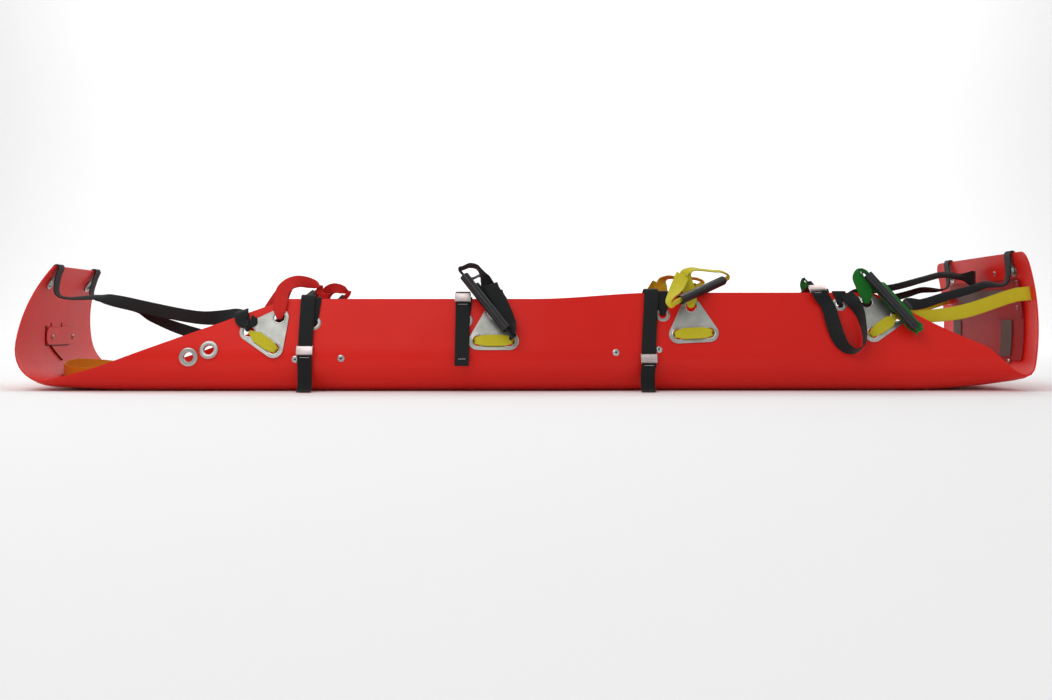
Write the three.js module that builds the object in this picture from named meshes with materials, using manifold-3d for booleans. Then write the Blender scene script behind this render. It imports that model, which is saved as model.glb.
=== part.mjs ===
// Roll-up rescue stretcher: one plastic sheet strapped into a trough, with
// eyelet plates, carry handles, cross straps with cam buckles, end straps
// and a lifting bridle.  Millimetres, +Z up, +X to the head, -Y near side.
// The origin is the centre of the underside of the floor.
import * as THREE from "three";
import { mergeVertices } from "three/addons/utils/BufferGeometryUtils.js";
import Module from "manifold-3d";

const wasm = await Module();
wasm.setup();

// ---------------------------------------------------------------- driving sizes
const SHEET = 3;                 // sheet thickness
const HALF_WIDTH = 450;          // flat half width of the sheet
const FLOOR_FOOT = 208.5;          // flat half width of the floor, foot side
const FLOOR_HEAD = 194;          // the same on the head side, so the wall is taller
const FLOOR_CHANGE = [20, 285];  // where the floor narrows
const SIDE_R = 68;               // bend from the floor to the wall
const SIDE_TURN = THREE.MathUtils.degToRad(108);
const SIDE_ARC = SIDE_R * SIDE_TURN;

const HEAD = { flat: 812, rise: 1440, riseTurn: 9.6, bend: 40, bendTurn: 72, panel: 520, panelTurn: 27.4 };
const FOOT = { flat: 800, rise: 3000, riseTurn: 4.2, bend: 95, bendTurn: 85.8, panel: 298, panelTurn: 35 };

const FOOT_TAPER = -507;         // where the foot end starts to narrow
const FOOT_TIP_HALF = 130;
const HEAD_TAPER = [745, 1080];  // where the head end narrows
const HEAD_HALF = [268, 256];    // half width of the head panel, foot and tip
const HEAD_CORNER = 35;
const CURL = { from: 980, to: 1085, left: 0.12 };  // the section flattens at the head panel

const WEB = 30;                  // webbing width
const WEB_T = 2.2;               // webbing thickness
const HOLE_WEB = 14;             // webbing gathered in a hole
const TUBE_WEB = 12;             // webbing folded inside a grip
const PLATE_T = 2;
const PLATE_GAP = 0.4;
const PLATE_HOLE_R = 12;
const PLATE_BASE = 66;           // between the two base holes
const PLATE_HEIGHT = 61;         // base holes to the top hole
const PLATE_CORNER = 20;
const GRIP_R = 10;
const GRIP_BORE = 8;
const GRIP_LENGTH = 150;
const OUTER = 4.7;               // webbing centre outside a plate
const INNER = -5.4;              // webbing centre inside the wall
const SHEET_HOLE_SIDES = 8;
const RING_SIDES = 10;

// ---------------------------------------------------------------- materials
const finish = (color, roughness, metalness) =>
  new THREE.MeshStandardMaterial({ color, roughness, metalness });
const RED_SHEET = finish(0xd3302a, 0.35, 0);
const DARK_RED = finish(0x96282d, 0.5, 0);
const STEEL = finish(0xa5a59e, 0.35, 0.9);
const BUCKLE_STEEL = finish(0xcdc3c8, 0.35, 0.8);
const BLACK_WEB = finish(0x1e2326, 0.8, 0);
const GRIP_PLASTIC = finish(0x232d37, 0.4, 0);
const WEB_COLOUR = {
  red: finish(0xeb2d28, 0.8, 0),
  black: BLACK_WEB,
  yellow: finish(0xd7cd32, 0.8, 0),
  green: finish(0x198228, 0.8, 0),
};

// ---------------------------------------------------------------- sheet surface
const rad = THREE.MathUtils.degToRad;
const vec = (x, y, z) => new THREE.Vector3(x, y, z);

// One end's profile: a flat run and then arcs that all turn upwards.
function endProfile(end) {
  const arcs = [
    { length: end.flat, turn: 0 },
    { length: end.rise * rad(end.riseTurn), turn: rad(end.riseTurn) },
    { length: end.bend * rad(end.bendTurn), turn: rad(end.bendTurn) },
    { length: end.panel * rad(end.panelTurn), turn: rad(end.panelTurn) },
  ];
  return arcs;
}
const HEAD_ARCS = endProfile(HEAD);
const FOOT_ARCS = endProfile(FOOT);
const lengthOf = (arcs) => arcs.reduce((sum, arc) => sum + arc.length, 0);
const HEAD_END = lengthOf(HEAD_ARCS);
const FOOT_END = -lengthOf(FOOT_ARCS);

// The point and slope of the centre line at arc length s from the origin.
function profile(s) {
  const arcs = s < 0 ? FOOT_ARCS : HEAD_ARCS;
  let left = Math.abs(s);
  let x = 0;
  let z = 0;
  let slope = 0;
  for (const arc of arcs) {
    const part = Math.min(left, arc.length);
    const turn = arc.turn * part / arc.length;
    if (turn > 0) {
      const r = part / turn;
      x += r * (Math.sin(slope + turn) - Math.sin(slope));
      z += r * (Math.cos(slope) - Math.cos(slope + turn));
    } else {
      x += part;
    }
    slope += turn;
    left -= part;
  }
  x += left * Math.cos(slope);
  z += left * Math.sin(slope);
  const way = s < 0 ? -1 : 1;
  return { x: way * x, z, nx: -way * Math.sin(slope), nz: Math.cos(slope) };
}

const floorHalf = (s) =>
  THREE.MathUtils.lerp(FLOOR_FOOT, FLOOR_HEAD, THREE.MathUtils.smoothstep(s, ...FLOOR_CHANGE));

function section(s, v) {
  const floor = floorHalf(s);
  const a = Math.abs(v);
  const side = Math.sign(v);
  if (a <= floor) return { y: v, h: 0 };
  const turn = (a - floor) / SIDE_R;
  if (turn <= SIDE_TURN) {
    return { y: side * (floor + SIDE_R * Math.sin(turn)), h: SIDE_R * (1 - Math.cos(turn)) };
  }
  const wall = a - floor - SIDE_ARC;
  return {
    y: side * (floor + SIDE_R * Math.sin(SIDE_TURN) + wall * Math.cos(SIDE_TURN)),
    h: SIDE_R * (1 - Math.cos(SIDE_TURN)) + wall * Math.sin(SIDE_TURN),
  };
}

const curl = (s) => THREE.MathUtils.lerp(1, CURL.left, THREE.MathUtils.smoothstep(s, CURL.from, CURL.to));

// The outer face of the sheet at (s along, v across).
function outerFace(s, v) {
  const line = profile(s);
  const cut = section(s, v);
  const h = cut.h * curl(s);
  return new THREE.Vector3(line.x + line.nx * h, cut.y, line.z + line.nz * h);
}

// The frame at (s, v): along the sheet, up the wall and out of the trough.
function frameAt(s, v) {
  const step = 0.5;
  const along = outerFace(s + step, v).sub(outerFace(s - step, v)).normalize();
  const across = outerFace(s, v + step).sub(outerFace(s, v - step)).normalize();
  const out = new THREE.Vector3().crossVectors(across, along).normalize();
  return { origin: outerFace(s, v), along, across, out };
}

const onSheet = (s, v, out) => {
  const frame = frameAt(s, v);
  return frame.origin.addScaledVector(frame.out, out);
};

// Half width of the flat sheet at arc length s.
function halfWidth(s) {
  if (s < FOOT_TAPER) {
    const t = (s - FOOT_TAPER) / (FOOT_END - FOOT_TAPER);
    return THREE.MathUtils.lerp(HALF_WIDTH, FOOT_TIP_HALF, t);
  }
  if (s < HEAD_TAPER[0]) return HALF_WIDTH;
  if (s < HEAD_TAPER[1]) {
    const t = (s - HEAD_TAPER[0]) / (HEAD_TAPER[1] - HEAD_TAPER[0]);
    return THREE.MathUtils.lerp(HALF_WIDTH, HEAD_HALF[0], t);
  }
  const t = (s - HEAD_TAPER[1]) / (HEAD_END - HEAD_TAPER[1]);
  const half = THREE.MathUtils.lerp(HEAD_HALF[0], HEAD_HALF[1], t);
  const corner = Math.max(0, s - (HEAD_END - HEAD_CORNER));
  return half - HEAD_CORNER + Math.sqrt(HEAD_CORNER ** 2 - corner ** 2);
}

// ---------------------------------------------------------------- near wall
// Near-wall places are given as (x, height, distance out of the wall).
const WALL_UP = new THREE.Vector3(0, -Math.cos(SIDE_TURN), Math.sin(SIDE_TURN));
const WALL_OUT = new THREE.Vector3(0, -Math.sin(SIDE_TURN), -Math.cos(SIDE_TURN));
const WALL_X = new THREE.Vector3(1, 0, 0);
const WALL_FOOT_Z = SIDE_R * (1 - Math.cos(SIDE_TURN));

function onWall(x, z, out = 0) {
  const rise = (z - WALL_FOOT_Z - out * WALL_OUT.z) / WALL_UP.z;
  const y = -(floorHalf(x) + SIDE_R * Math.sin(SIDE_TURN));
  return new THREE.Vector3(x, y, WALL_FOOT_Z)
    .addScaledVector(WALL_UP, rise)
    .addScaledVector(WALL_OUT, out);
}

const wallWay = ([x, up, out = 0]) =>
  new THREE.Vector3(x, 0, 0).addScaledVector(WALL_UP, up).addScaledVector(WALL_OUT, out);

const wallMatrix = (point, turn = 0) =>
  new THREE.Matrix4().makeBasis(WALL_X, WALL_UP, WALL_OUT)
    .multiply(new THREE.Matrix4().makeRotationZ(turn))
    .setPosition(point);

// ---------------------------------------------------------------- solid helpers
function bare(geometry) {
  const copy = geometry.clone();
  copy.deleteAttribute("normal");
  copy.deleteAttribute("uv");
  return mergeVertices(copy, 1e-4);
}

function toSolid(geometry) {
  const merged = bare(geometry);
  return new wasm.Manifold(new wasm.Mesh({
    numProp: 3,
    vertProperties: new Float32Array(merged.attributes.position.array),
    triVerts: new Uint32Array(merged.index.array),
  }));
}

function toGeometry(solid) {
  const mesh = solid.getMesh();
  const geometry = new THREE.BufferGeometry();
  geometry.setAttribute("position", new THREE.BufferAttribute(mesh.vertProperties, 3));
  geometry.setIndex(new THREE.BufferAttribute(mesh.triVerts, 1));
  return geometry;
}

// A closed mesh from points and quads, turned so that its faces point out.
function closedMesh(points, quads) {
  const index = quads.flatMap(([a, b, c, d]) => [a, b, c, a, c, d]);
  let volume = 0;
  for (let i = 0; i < index.length; i += 3) {
    const [a, b, c] = index.slice(i, i + 3).map((k) => points[k]);
    volume += a.dot(new THREE.Vector3().crossVectors(b, c));
  }
  if (volume < 0) index.reverse();
  const geometry = new THREE.BufferGeometry().setFromPoints(points);
  geometry.setIndex(index);
  return geometry;
}

function mirrored(geometry) {
  const copy = bare(geometry);
  copy.scale(1, -1, 1);
  copy.setIndex(Array.from(copy.index.array).reverse());
  return copy;
}

// A grid of points (rows of equal length) given a thickness by two layers.
function slab(outerRows, innerRows) {
  const rows = outerRows.length;
  const columns = outerRows[0].length;
  const points = [...outerRows.flat(), ...innerRows.flat()];
  const inner = rows * columns;
  const at = (i, j) => i * columns + j;
  const quads = [];
  for (let i = 0; i + 1 < rows; i += 1) {
    for (let j = 0; j + 1 < columns; j += 1) {
      const cell = [at(i, j), at(i, j + 1), at(i + 1, j + 1), at(i + 1, j)];
      quads.push(cell);
      quads.push(cell.map((k) => k + inner).reverse());
    }
  }
  const rim = [];
  for (let j = 0; j + 1 < columns; j += 1) rim.push(at(0, j));
  for (let i = 0; i + 1 < rows; i += 1) rim.push(at(i, columns - 1));
  for (let j = columns - 1; j > 0; j -= 1) rim.push(at(rows - 1, j));
  for (let i = rows - 1; i > 0; i -= 1) rim.push(at(i, 0));
  rim.forEach((a, k) => {
    const b = rim[(k + 1) % rim.length];
    quads.push([b, a, a + inner, b + inner]);
  });
  return closedMesh(points, quads);
}

// Webbing through control points { p, side, w, t }: p is the centre, side the
// way of its width.  A closed band joins its last station to its first.
function webbing(controls, { closed = false, steps = 2, width = WEB, thick = WEB_T } = {}) {
  const curve = new THREE.CatmullRomCurve3(controls.map((c) => c.p), closed, "centripetal");
  const spans = closed ? controls.length : controls.length - 1;
  const count = spans * steps + (closed ? 0 : 1);
  const points = [];
  for (let i = 0; i < count; i += 1) {
    const u = i / (spans * steps);
    const k = Math.min(Math.floor(i / steps), controls.length - 1);
    const a = controls[k];
    const b = controls[(k + 1) % controls.length];
    const mix = i / steps - k;
    const lerp = (name, normal) =>
      THREE.MathUtils.lerp(a[name] ?? normal, b[name] ?? normal, mix);
    const nextSide = b.side.clone();
    if (closed && k + 1 === controls.length && a.side.dot(nextSide) < 0) nextSide.negate();
    const centre = curve.getPoint(u);
    const way = curve.getTangent(u);
    const side = a.side.clone().lerp(nextSide, mix);
    side.addScaledVector(way, -side.dot(way)).normalize();
    const face = new THREE.Vector3().crossVectors(way, side).normalize();
    const w = lerp("w", width) / 2;
    const t = lerp("t", thick) / 2;
    for (const [x, y] of [[-w, -t], [w, -t], [w, t], [-w, t]]) {
      points.push(centre.clone().addScaledVector(side, x).addScaledVector(face, y));
    }
  }
  const quads = [];
  const links = closed ? count : count - 1;
  for (let i = 0; i < links; i += 1) {
    const next = (i + 1) % count;
    let shift = 0;
    if (next === 0) {
      const gap = (k) => points[i * 4].distanceTo(points[k]);
      shift = gap(2) < gap(0) ? 2 : 0;
    }
    for (let k = 0; k < 4; k += 1) {
      const l = (k + 1) % 4;
      quads.push([i * 4 + k, i * 4 + l, next * 4 + (l + shift) % 4, next * 4 + (k + shift) % 4]);
    }
  }
  if (!closed) {
    const last = (count - 1) * 4;
    quads.push([3, 2, 1, 0]);
    quads.push([last, last + 1, last + 2, last + 3]);
  }
  return closedMesh(points, quads);
}

// ---------------------------------------------------------------- scene helpers
const stretcher = new THREE.Group();
const NEAR = "near";
const FAR = "far";

function add(name, geometry, material) {
  const mesh = new THREE.Mesh(geometry, material);
  mesh.name = name;
  stretcher.add(mesh);
}

function addPair(name, geometry, material) {
  add(`${name}_${NEAR}`, geometry, material);
  add(`${name}_${FAR}`, mirrored(geometry), material);
}

// ---------------------------------------------------------------- positions
const PLATES = [
  { name: "plate_1", x: -522, z: 156, turn: -35 },
  { name: "plate_2", x: -68, z: 165, turn: 0 },
  { name: "plate_3", x: 353, z: 180, turn: 3 },
  { name: "plate_4", x: 729, z: 189, turn: 35 },
];

// The plate's three holes in its own frame, from the top hole.
const PLATE_HOLES = [[0, 0], [-PLATE_BASE / 2, -PLATE_HEIGHT], [PLATE_BASE / 2, -PLATE_HEIGHT]];

function plateHole(plate, k, out = 0, shift = [0, 0]) {
  const [x, y] = PLATE_HOLES[k];
  const local = new THREE.Vector3(x + shift[0], y + shift[1], out);
  return local.applyMatrix4(wallMatrix(onWall(plate.x, plate.z), rad(plate.turn)));
}

const plateWay = (plate, x, y, out = 0) =>
  new THREE.Vector3(x, y, out).transformDirection(wallMatrix(onWall(0, 0), rad(plate.turn)));

const STRAP_EYELETS = [
  { x: -449, z: 145 },
  { x: -128, z: 151 },
  { x: 292, z: 163 },
  { x: 672, z: 186 },
];
const FOOT_EYELETS = [{ s: -708, v: 321 }, { s: -666, v: 336 }];
const CORNER_EYELETS = {
  foot: { s: FOOT_END + 44, v: 102 },
  head: { s: HEAD_END - 40, v: 168 },
};
const BRIDLE_SLOT = { s: HEAD_END - 92, v: 222, long: 36, wide: 9 };

// The head board lies inside the head panel.
const BOARD = { from: HEAD_END - HEAD_ARCS[3].length + 8, to: HEAD_END - 58, half: 188, gap: 0.5 };

const EYELET_HOLE = 8.5;
const EYELET_WALL = 1.2;
const HOLE_FIT = 1.5;            // the sheet's holes over the metal's
const BIG_EYELET_HOLE = 10.5;

// ---------------------------------------------------------------- sheet
function steps(from, to, count) {
  return Array.from({ length: count }, (_, i) => from + (to - from) * (i + 1) / count);
}

function sheetStations() {
  const foot = FOOT_ARCS.map((arc) => arc.length);
  const head = HEAD_ARCS.map((arc) => arc.length);
  const footBend = -(foot[0] + foot[1]);
  const footPanel = footBend - foot[2];
  const headBend = head[0] + head[1];
  const headPanel = headBend + head[2];
  return [
    FOOT_END,
    ...steps(FOOT_END, footPanel, 4),
    ...steps(footPanel, footBend, 6),
    ...steps(footBend, -foot[0], 3),
    ...steps(-foot[0], FOOT_TAPER, 6),
    FLOOR_CHANGE[0],
    ...steps(...FLOOR_CHANGE, 3),
    HEAD_TAPER[0],
    head[0],
    ...steps(head[0], headBend, 6),
    ...steps(headBend, headPanel, 5),
    BOARD.from,
    ...steps(BOARD.from, BOARD.to, 3),
    HEAD_END - HEAD_CORNER,
    HEAD_END - HEAD_CORNER / 2,
    HEAD_END - HEAD_CORNER / 6,
    HEAD_END,
  ];
}

const SIDE_STEPS = 7;

// Rows across the sheet: floor edge, the bend's steps and the rim.  Where the
// sheet is narrow the rows close up towards the rim in order.
function sheetRow(s) {
  const floor = floorHalf(s);
  const half = halfWidth(s);
  const rows = [0, floor];
  rows.push(...steps(floor, floor + SIDE_ARC, SIDE_STEPS));
  rows.push(HALF_WIDTH);
  const last = rows.length - 1;
  const capped = rows.map((v, j) => Math.min(v, half * (0.72 + 0.28 * j / last)));
  capped[last] = half;
  return [...capped.slice(1).reverse().map((v) => -v), ...capped];
}

function holeCutter(frame, radius, depth = 40) {
  const cutter = new THREE.CylinderGeometry(radius, radius, depth, SHEET_HOLE_SIDES);
  cutter.applyMatrix4(new THREE.Matrix4()
    .makeBasis(frame.along, frame.out, new THREE.Vector3().crossVectors(frame.along, frame.out))
    .setPosition(frame.origin));
  return cutter;
}

const wallFrame = (point) => ({ origin: point, along: WALL_X, out: WALL_OUT });
const sideFrame = (place) => frameAt(place.s, -place.v);

function sheet() {
  const stations = sheetStations();
  const layer = (out) => stations.map((s) => sheetRow(s).map((v) => onSheet(s, v, out)));
  let solid = toSolid(slab(layer(0), layer(-SHEET)));
  const cutters = [];
  for (const plate of PLATES) {
    for (let k = 0; k < 3; k += 1) {
      cutters.push(holeCutter(wallFrame(plateHole(plate, k)), PLATE_HOLE_R + HOLE_FIT));
    }
  }
  const strapHole = EYELET_HOLE + EYELET_WALL + HOLE_FIT;
  const bigHole = BIG_EYELET_HOLE + EYELET_WALL + HOLE_FIT;
  for (const e of STRAP_EYELETS) cutters.push(holeCutter(wallFrame(onWall(e.x, e.z)), strapHole));
  for (const e of FOOT_EYELETS) cutters.push(holeCutter(sideFrame(e), bigHole));
  for (const e of Object.values(CORNER_EYELETS)) cutters.push(holeCutter(sideFrame(e), strapHole));
  const slot = sideFrame(BRIDLE_SLOT);
  const slotBox = new THREE.BoxGeometry(BRIDLE_SLOT.long, 40, BRIDLE_SLOT.wide);
  slotBox.applyMatrix4(new THREE.Matrix4()
    .makeBasis(slot.along, slot.out, new THREE.Vector3().crossVectors(slot.along, slot.out))
    .setPosition(slot.origin));
  cutters.push(slotBox);
  for (const cutter of cutters) {
    solid = solid.subtract(toSolid(cutter)).subtract(toSolid(mirrored(cutter)));
  }
  return toGeometry(solid);
}

// ---------------------------------------------------------------- head board
function headBoard() {
  const stations = sheetStations().filter((s) => s >= BOARD.from && s <= BOARD.to);
  const layer = (out) => stations.map((s) =>
    [-BOARD.half, 0, BOARD.half].map((v) => onSheet(s, v, out)));
  return slab(layer(-SHEET - BOARD.gap), layer(-SHEET - BOARD.gap - SHEET));
}

// ---------------------------------------------------------------- plates
function arc(x, y, r, from, to, count) {
  return Array.from({ length: count + 1 }, (_, i) => {
    const turn = from + (to - from) * i / count;
    return new THREE.Vector2(x + r * Math.cos(turn), y + r * Math.sin(turn));
  });
}

function plateGeometry() {
  const half = PLATE_BASE / 2;
  const slant = Math.atan2(PLATE_HEIGHT, half);
  const down = 1.5 * Math.PI;
  const r = PLATE_CORNER;
  const outline = new THREE.Shape([
    ...arc(-half, -PLATE_HEIGHT, r, Math.PI / 2 + slant, down, 4),
    ...arc(half, -PLATE_HEIGHT, r, down, down + Math.PI - slant, 4),
    ...arc(0, 0, r, Math.PI / 2 - slant, Math.PI / 2 + slant, 4),
  ]);
  for (const [x, y] of PLATE_HOLES) {
    outline.holes.push(new THREE.Path(arc(x, y, PLATE_HOLE_R, 0, 2 * Math.PI, RING_SIDES).slice(1)));
  }
  return new THREE.ExtrudeGeometry(outline, { depth: PLATE_T, bevelEnabled: false });
}

function addPlates() {
  for (const plate of PLATES) {
    const geometry = toGeometry(toSolid(plateGeometry()));
    geometry.applyMatrix4(wallMatrix(onWall(plate.x, plate.z, PLATE_GAP), rad(plate.turn)));
    addPair(plate.name, geometry, STEEL);
  }
}

// ---------------------------------------------------------------- eyelets
// A rolled eyelet: a barrel with a flange on each face of the sheet.
function eyelet(hole, flange, gap) {
  const barrel = hole + EYELET_WALL;
  const inner = -SHEET - gap;
  const profilePoints = [
    [hole, inner - 1], [flange - 1.5, inner - 1], [flange - 1.5, inner], [barrel, inner],
    [barrel, gap], [flange, gap], [flange, gap + 1], [hole, gap + 1], [hole, inner - 1],
  ].map(([r, out]) => new THREE.Vector2(r, out));
  return new THREE.LatheGeometry(profilePoints, RING_SIDES);
}

function placeEyelet(frame, geometry) {
  return toGeometry(toSolid(geometry)).applyMatrix4(new THREE.Matrix4()
    .makeBasis(frame.along, frame.out, new THREE.Vector3().crossVectors(frame.along, frame.out))
    .setPosition(frame.origin));
}

const STRAP_EYELET_FLANGE = 15.5;
const BIG_EYELET_FLANGE = 19.5;
const FLAT_GAP = 0.35;
const BEND_GAP = 3.2;            // the flat flanges on the bend's curve

function addEyelets() {
  const small = eyelet(EYELET_HOLE, STRAP_EYELET_FLANGE, FLAT_GAP);
  STRAP_EYELETS.forEach((e, i) => {
    addPair(`strap_eyelet_${i + 1}`, placeEyelet(wallFrame(onWall(e.x, e.z)), small), STEEL);
  });
  for (const [end, place] of Object.entries(CORNER_EYELETS)) {
    const gap = end === "foot" ? 1.6 : 0.8;
    const geometry = eyelet(EYELET_HOLE, STRAP_EYELET_FLANGE, gap);
    addPair(`${end}_corner_eyelet`, placeEyelet(sideFrame(place), geometry), STEEL);
  }
  addPair("foot_eyelets", footEyelets(), STEEL);
}

// The two large eyelets of a side share a backing washer inside the wall.
function footEyelets() {
  const big = eyelet(BIG_EYELET_HOLE, BIG_EYELET_FLANGE, BEND_GAP);
  const [first, second] = FOOT_EYELETS.map((e) => toSolid(placeEyelet(sideFrame(e), big)));
  const [a, b] = FOOT_EYELETS;
  const middle = frameAt((a.s + b.s) / 2, -(a.v + b.v) / 2);
  const backing = new THREE.BoxGeometry(22, 2.4, 12);
  backing.applyMatrix4(new THREE.Matrix4()
    .makeBasis(middle.along, middle.out, new THREE.Vector3().crossVectors(middle.along, middle.out))
    .setPosition(middle.origin.clone().addScaledVector(middle.out, -SHEET - BEND_GAP - 0.8)));
  return toGeometry(first.add(second).add(toSolid(backing)));
}

// ---------------------------------------------------------------- handles
// Every handle is one closed band of webbing: out through the plate's top
// hole, up the outside, round through its grip and back down the inside.
// Its places are (x, height, out) on the near wall, its sides (x, up, out).
const HOLE_TURN_IN = [
  { dz: 15, out: INNER, w: 26 },
  { dz: 4, out: -4.2, w: 16 },
  { dz: -1, out: -0.2, w: HOLE_WEB },
  { dz: 4, out: 3.7, w: 16 },
  { dz: 15, out: OUTER, w: 26 },
];

const HANDLES = [
  {
    name: "handle_1", colour: "red", hole: PLATES[0],
    grip: [[-458, 211, -45], [-570, 115, -45]],
    gripSide: [-0.65, 0.76, 0],
    first: [
      [-521, 187, 5, 30, [1, 0, 0]],
      [-521, 203, 3, 30, [0.95, -0.3, 0]],
      [-517, 217, 2, 30, [0.85, -0.5, 0]],
      [-506, 229, -2, 28, [0.5, -0.85, 0]],
      [-490, 235, -12, 26, [0, -1, 0]],
      [-472, 233, -26, 24, [-0.3, -0.95, 0]],
      [-450, 226, -42, 16, [-0.7, 0.5, 0.3]],
    ],
    second: [
      [-582, 106, -42, 16, [-0.65, 0.76, 0]],
      [-584, 122, -32, 22, [0.9, -0.3, 0]],
      [-558, 155, -20, 28, [0.86, -0.51, 0]],
      [-545, 176, -16, 30, [0.86, -0.51, 0]],
      [-530, 201, -15, 30, [0.86, -0.51, 0]],
      [-520, 215, -14, 30, [0.9, -0.4, 0]],
      [-515, 222, -11, 30, [1, -0.2, 0]],
      [-517, 212, -8, 28, [1, 0, 0]],
      [-520, 196, -7, 26, [1, 0, 0]],
    ],
  },
  {
    name: "handle_2", colour: "black", hole: PLATES[1],
    grip: [[-136, 251.5, 27], [-36, 126, 27]],
    gripSide: [0, 0, 1],
    reverse: true,
    first: [
      [-68, 200, 5, 30, [1, 0.1, 0]],
      [-72, 216, 5.5, 30, [1, 0.3, 0]],
      [-75, 228, 8, 30, [1, 0.35, 0]],
      [-71, 217, 11, 30, [1, 0.35, 0]],
      [-58, 196, 12, 30, [1, 0.4, 0]],
      [-44, 167, 12, 30, [1, 0.35, 0]],
      [-36, 146, 12, 30, [1, 0.25, 0]],
      [-29, 128, 18, 25, [0.7, 0.2, 0.7]],
      [-27, 116, 22, 20, [0.2, 0.2, 1]],
    ],
    second: [
      [-134, 263, 24, 22, [0, 0, 1]],
      [-119, 268, 18, 26, [0, 0, 1]],
      [-104, 264, 11, 28, [0, 0, 1]],
      [-94, 252, 5, 30, [0.25, 0, 1]],
      [-86, 237, 0, 30, [0.8, 0, 0.6]],
      [-80, 220, -6, 30, [1, 0, 0]],
      [-73, 203, -8, 28, [1, 0, 0]],
    ],
  },
  {
    name: "handle_3", colour: "yellow", hole: PLATES[2],
    grip: [[320, 192, 54], [432, 239, -26]],
    gripSide: [-0.2, 0.5, 0.8],
    first: [
      [352, 203, 5, 28, [1, 0, 0]],
      [348, 222, 5.5, 28, [1, -0.15, 0]],
      [341, 240, 7, 28, [1, -0.3, 0]],
      [337, 249, 11, 28, [1, -0.3, 0]],
      [332, 240, 16, 30, [1, -0.3, 0]],
      [323, 224, 26, 30, [1, -0.2, 0.1]],
      [312, 208, 39, 28, [0.95, 0.1, 0.3]],
      [302, 194, 51, 24, [0.7, 0.1, 0.7]],
      [304, 184, 59, 18, [0.1, 0.3, 0.9]],
    ],
    second: [
      [444, 248, -34, 18, [-0.3, -0.3, 0.9]],
      [430, 256, -26, 20, [0, -0.5, 0.85]],
      [405, 258, -17, 24, [0, -0.5, 0.85]],
      [382, 260, -10, 24, [0, -0.5, 0.85]],
      [358, 261, -5, 24, [0.2, -0.6, 0.75]],
      [346, 252, -5, 26, [0.8, -0.4, 0.3]],
      [345, 238, -7, 28, [1, 0, 0]],
      [350, 215, -8, 26, [1, 0, 0]],
    ],
  },
  {
    name: "handle_4", colour: "green", hole: PLATES[3],
    grip: [[728, 248, 29], [817, 136, 29]],
    gripSide: [0, 0, 1],
    first: [
      [729, 206, 5, 28, [1, 0, 0]],
      [725, 217, 7, 30, [1, -0.1, 0]],
      [719, 230, 10, 28, [1, -0.2, 0.1]],
      [712, 243, 14, 24, [0.95, -0.2, 0.3]],
      [714, 256, 23, 18, [0.6, 0.1, 0.8]],
    ],
    second: [
      [826, 128, 24, 20, [0.2, 0.2, 1]],
      [828, 136, 14, 24, [0.6, 0.5, 0.5]],
      [818, 142, 12, 28, [0.7, 0.6, 0]],
      [806, 162, 12, 30, [0.75, 0.6, 0]],
      [783, 190, 11, 30, [0.8, 0.6, 0]],
      [768, 210, 8, 30, [0.85, 0.5, 0]],
      [757, 227, 0, 30, [0.97, 0.25, 0]],
      [746, 222, -9.5, 28, [1, 0.1, 0]],
    ],
  },
];

// Where the folded webbing is set along the grip: just outside and inside its ends.
const TUBE_STOPS = [-0.06, 0.03, 0.97, 1.06];

function handleWebbing(handle) {
  const control = ([x, z, out, w, side]) => ({ p: onWall(x, z, out), w, side: wallWay(side) });
  const turn = HOLE_TURN_IN.map(({ dz, out, w }) =>
    ({ p: onWall(handle.hole.x, handle.hole.z + dz, out), w, side: WALL_X.clone() }));
  const ends = handle.grip.map((place) => onWall(...place));
  if (handle.reverse) ends.reverse();
  const inTube = TUBE_STOPS.map((t) => ({
    p: ends[0].clone().lerp(ends[1], t),
    w: TUBE_WEB,
    t: 3.6,
    side: wallWay(handle.gripSide),
  }));
  const controls = [...turn, ...handle.first.map(control), ...inTube, ...handle.second.map(control)];
  // keep each side on the same face of the band as the one before
  for (let i = 1; i < controls.length; i += 1) {
    if (controls[i].side.dot(controls[i - 1].side) < 0) controls[i].side.negate();
  }
  return webbing(controls, { closed: true, steps: 1 });
}

function gripGeometry(handle) {
  const ends = handle.grip.map((place) => onWall(...place));
  const middle = ends[0].clone().lerp(ends[1], 0.5);
  const way = ends[1].clone().sub(ends[0]).normalize();
  const half = GRIP_LENGTH / 2;
  const wall = [[GRIP_BORE, -half], [GRIP_R, -half], [GRIP_R, half], [GRIP_BORE, half], [GRIP_BORE, -half]];
  const tube = new THREE.LatheGeometry(wall.map(([r, y]) => new THREE.Vector2(r, y)), RING_SIDES);
  const turn = new THREE.Quaternion().setFromUnitVectors(new THREE.Vector3(0, 1, 0), way);
  return toGeometry(toSolid(tube)).applyQuaternion(turn).translate(middle.x, middle.y, middle.z);
}

function addHandles() {
  for (const handle of HANDLES) {
    addPair(handle.name, handleWebbing(handle), WEB_COLOUR[handle.colour]);
    addPair(`${handle.name}_grip`, gripGeometry(handle), GRIP_PLASTIC);
  }
}

// ---------------------------------------------------------------- cross straps
const wallTop = (x) => {
  const half = halfWidth(x);
  return WALL_FOOT_Z + (half - floorHalf(x) - SIDE_ARC) * WALL_UP.z;
};

// crest: how far a strap stands over the wall's edge, below its sag.
const STRAPS = [
  { name: "strap_1", x: -463, sag: 68, crest: 7, buckle: 87, tail: 2.5, lean: 0, tilt: 0 },
  { name: "strap_2", x: -134, sag: 16, crest: 14, buckle: 199, tail: 56, lean: 0, tilt: 0 },
  { name: "strap_3", x: 268, sag: 18, crest: 7, buckle: 70, tail: 2.5, lean: -12, tilt: 0 },
  { name: "strap_4", x: 625, sag: 16, crest: 17, buckle: 217, lean: 0, tilt: 40 },
];
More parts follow.
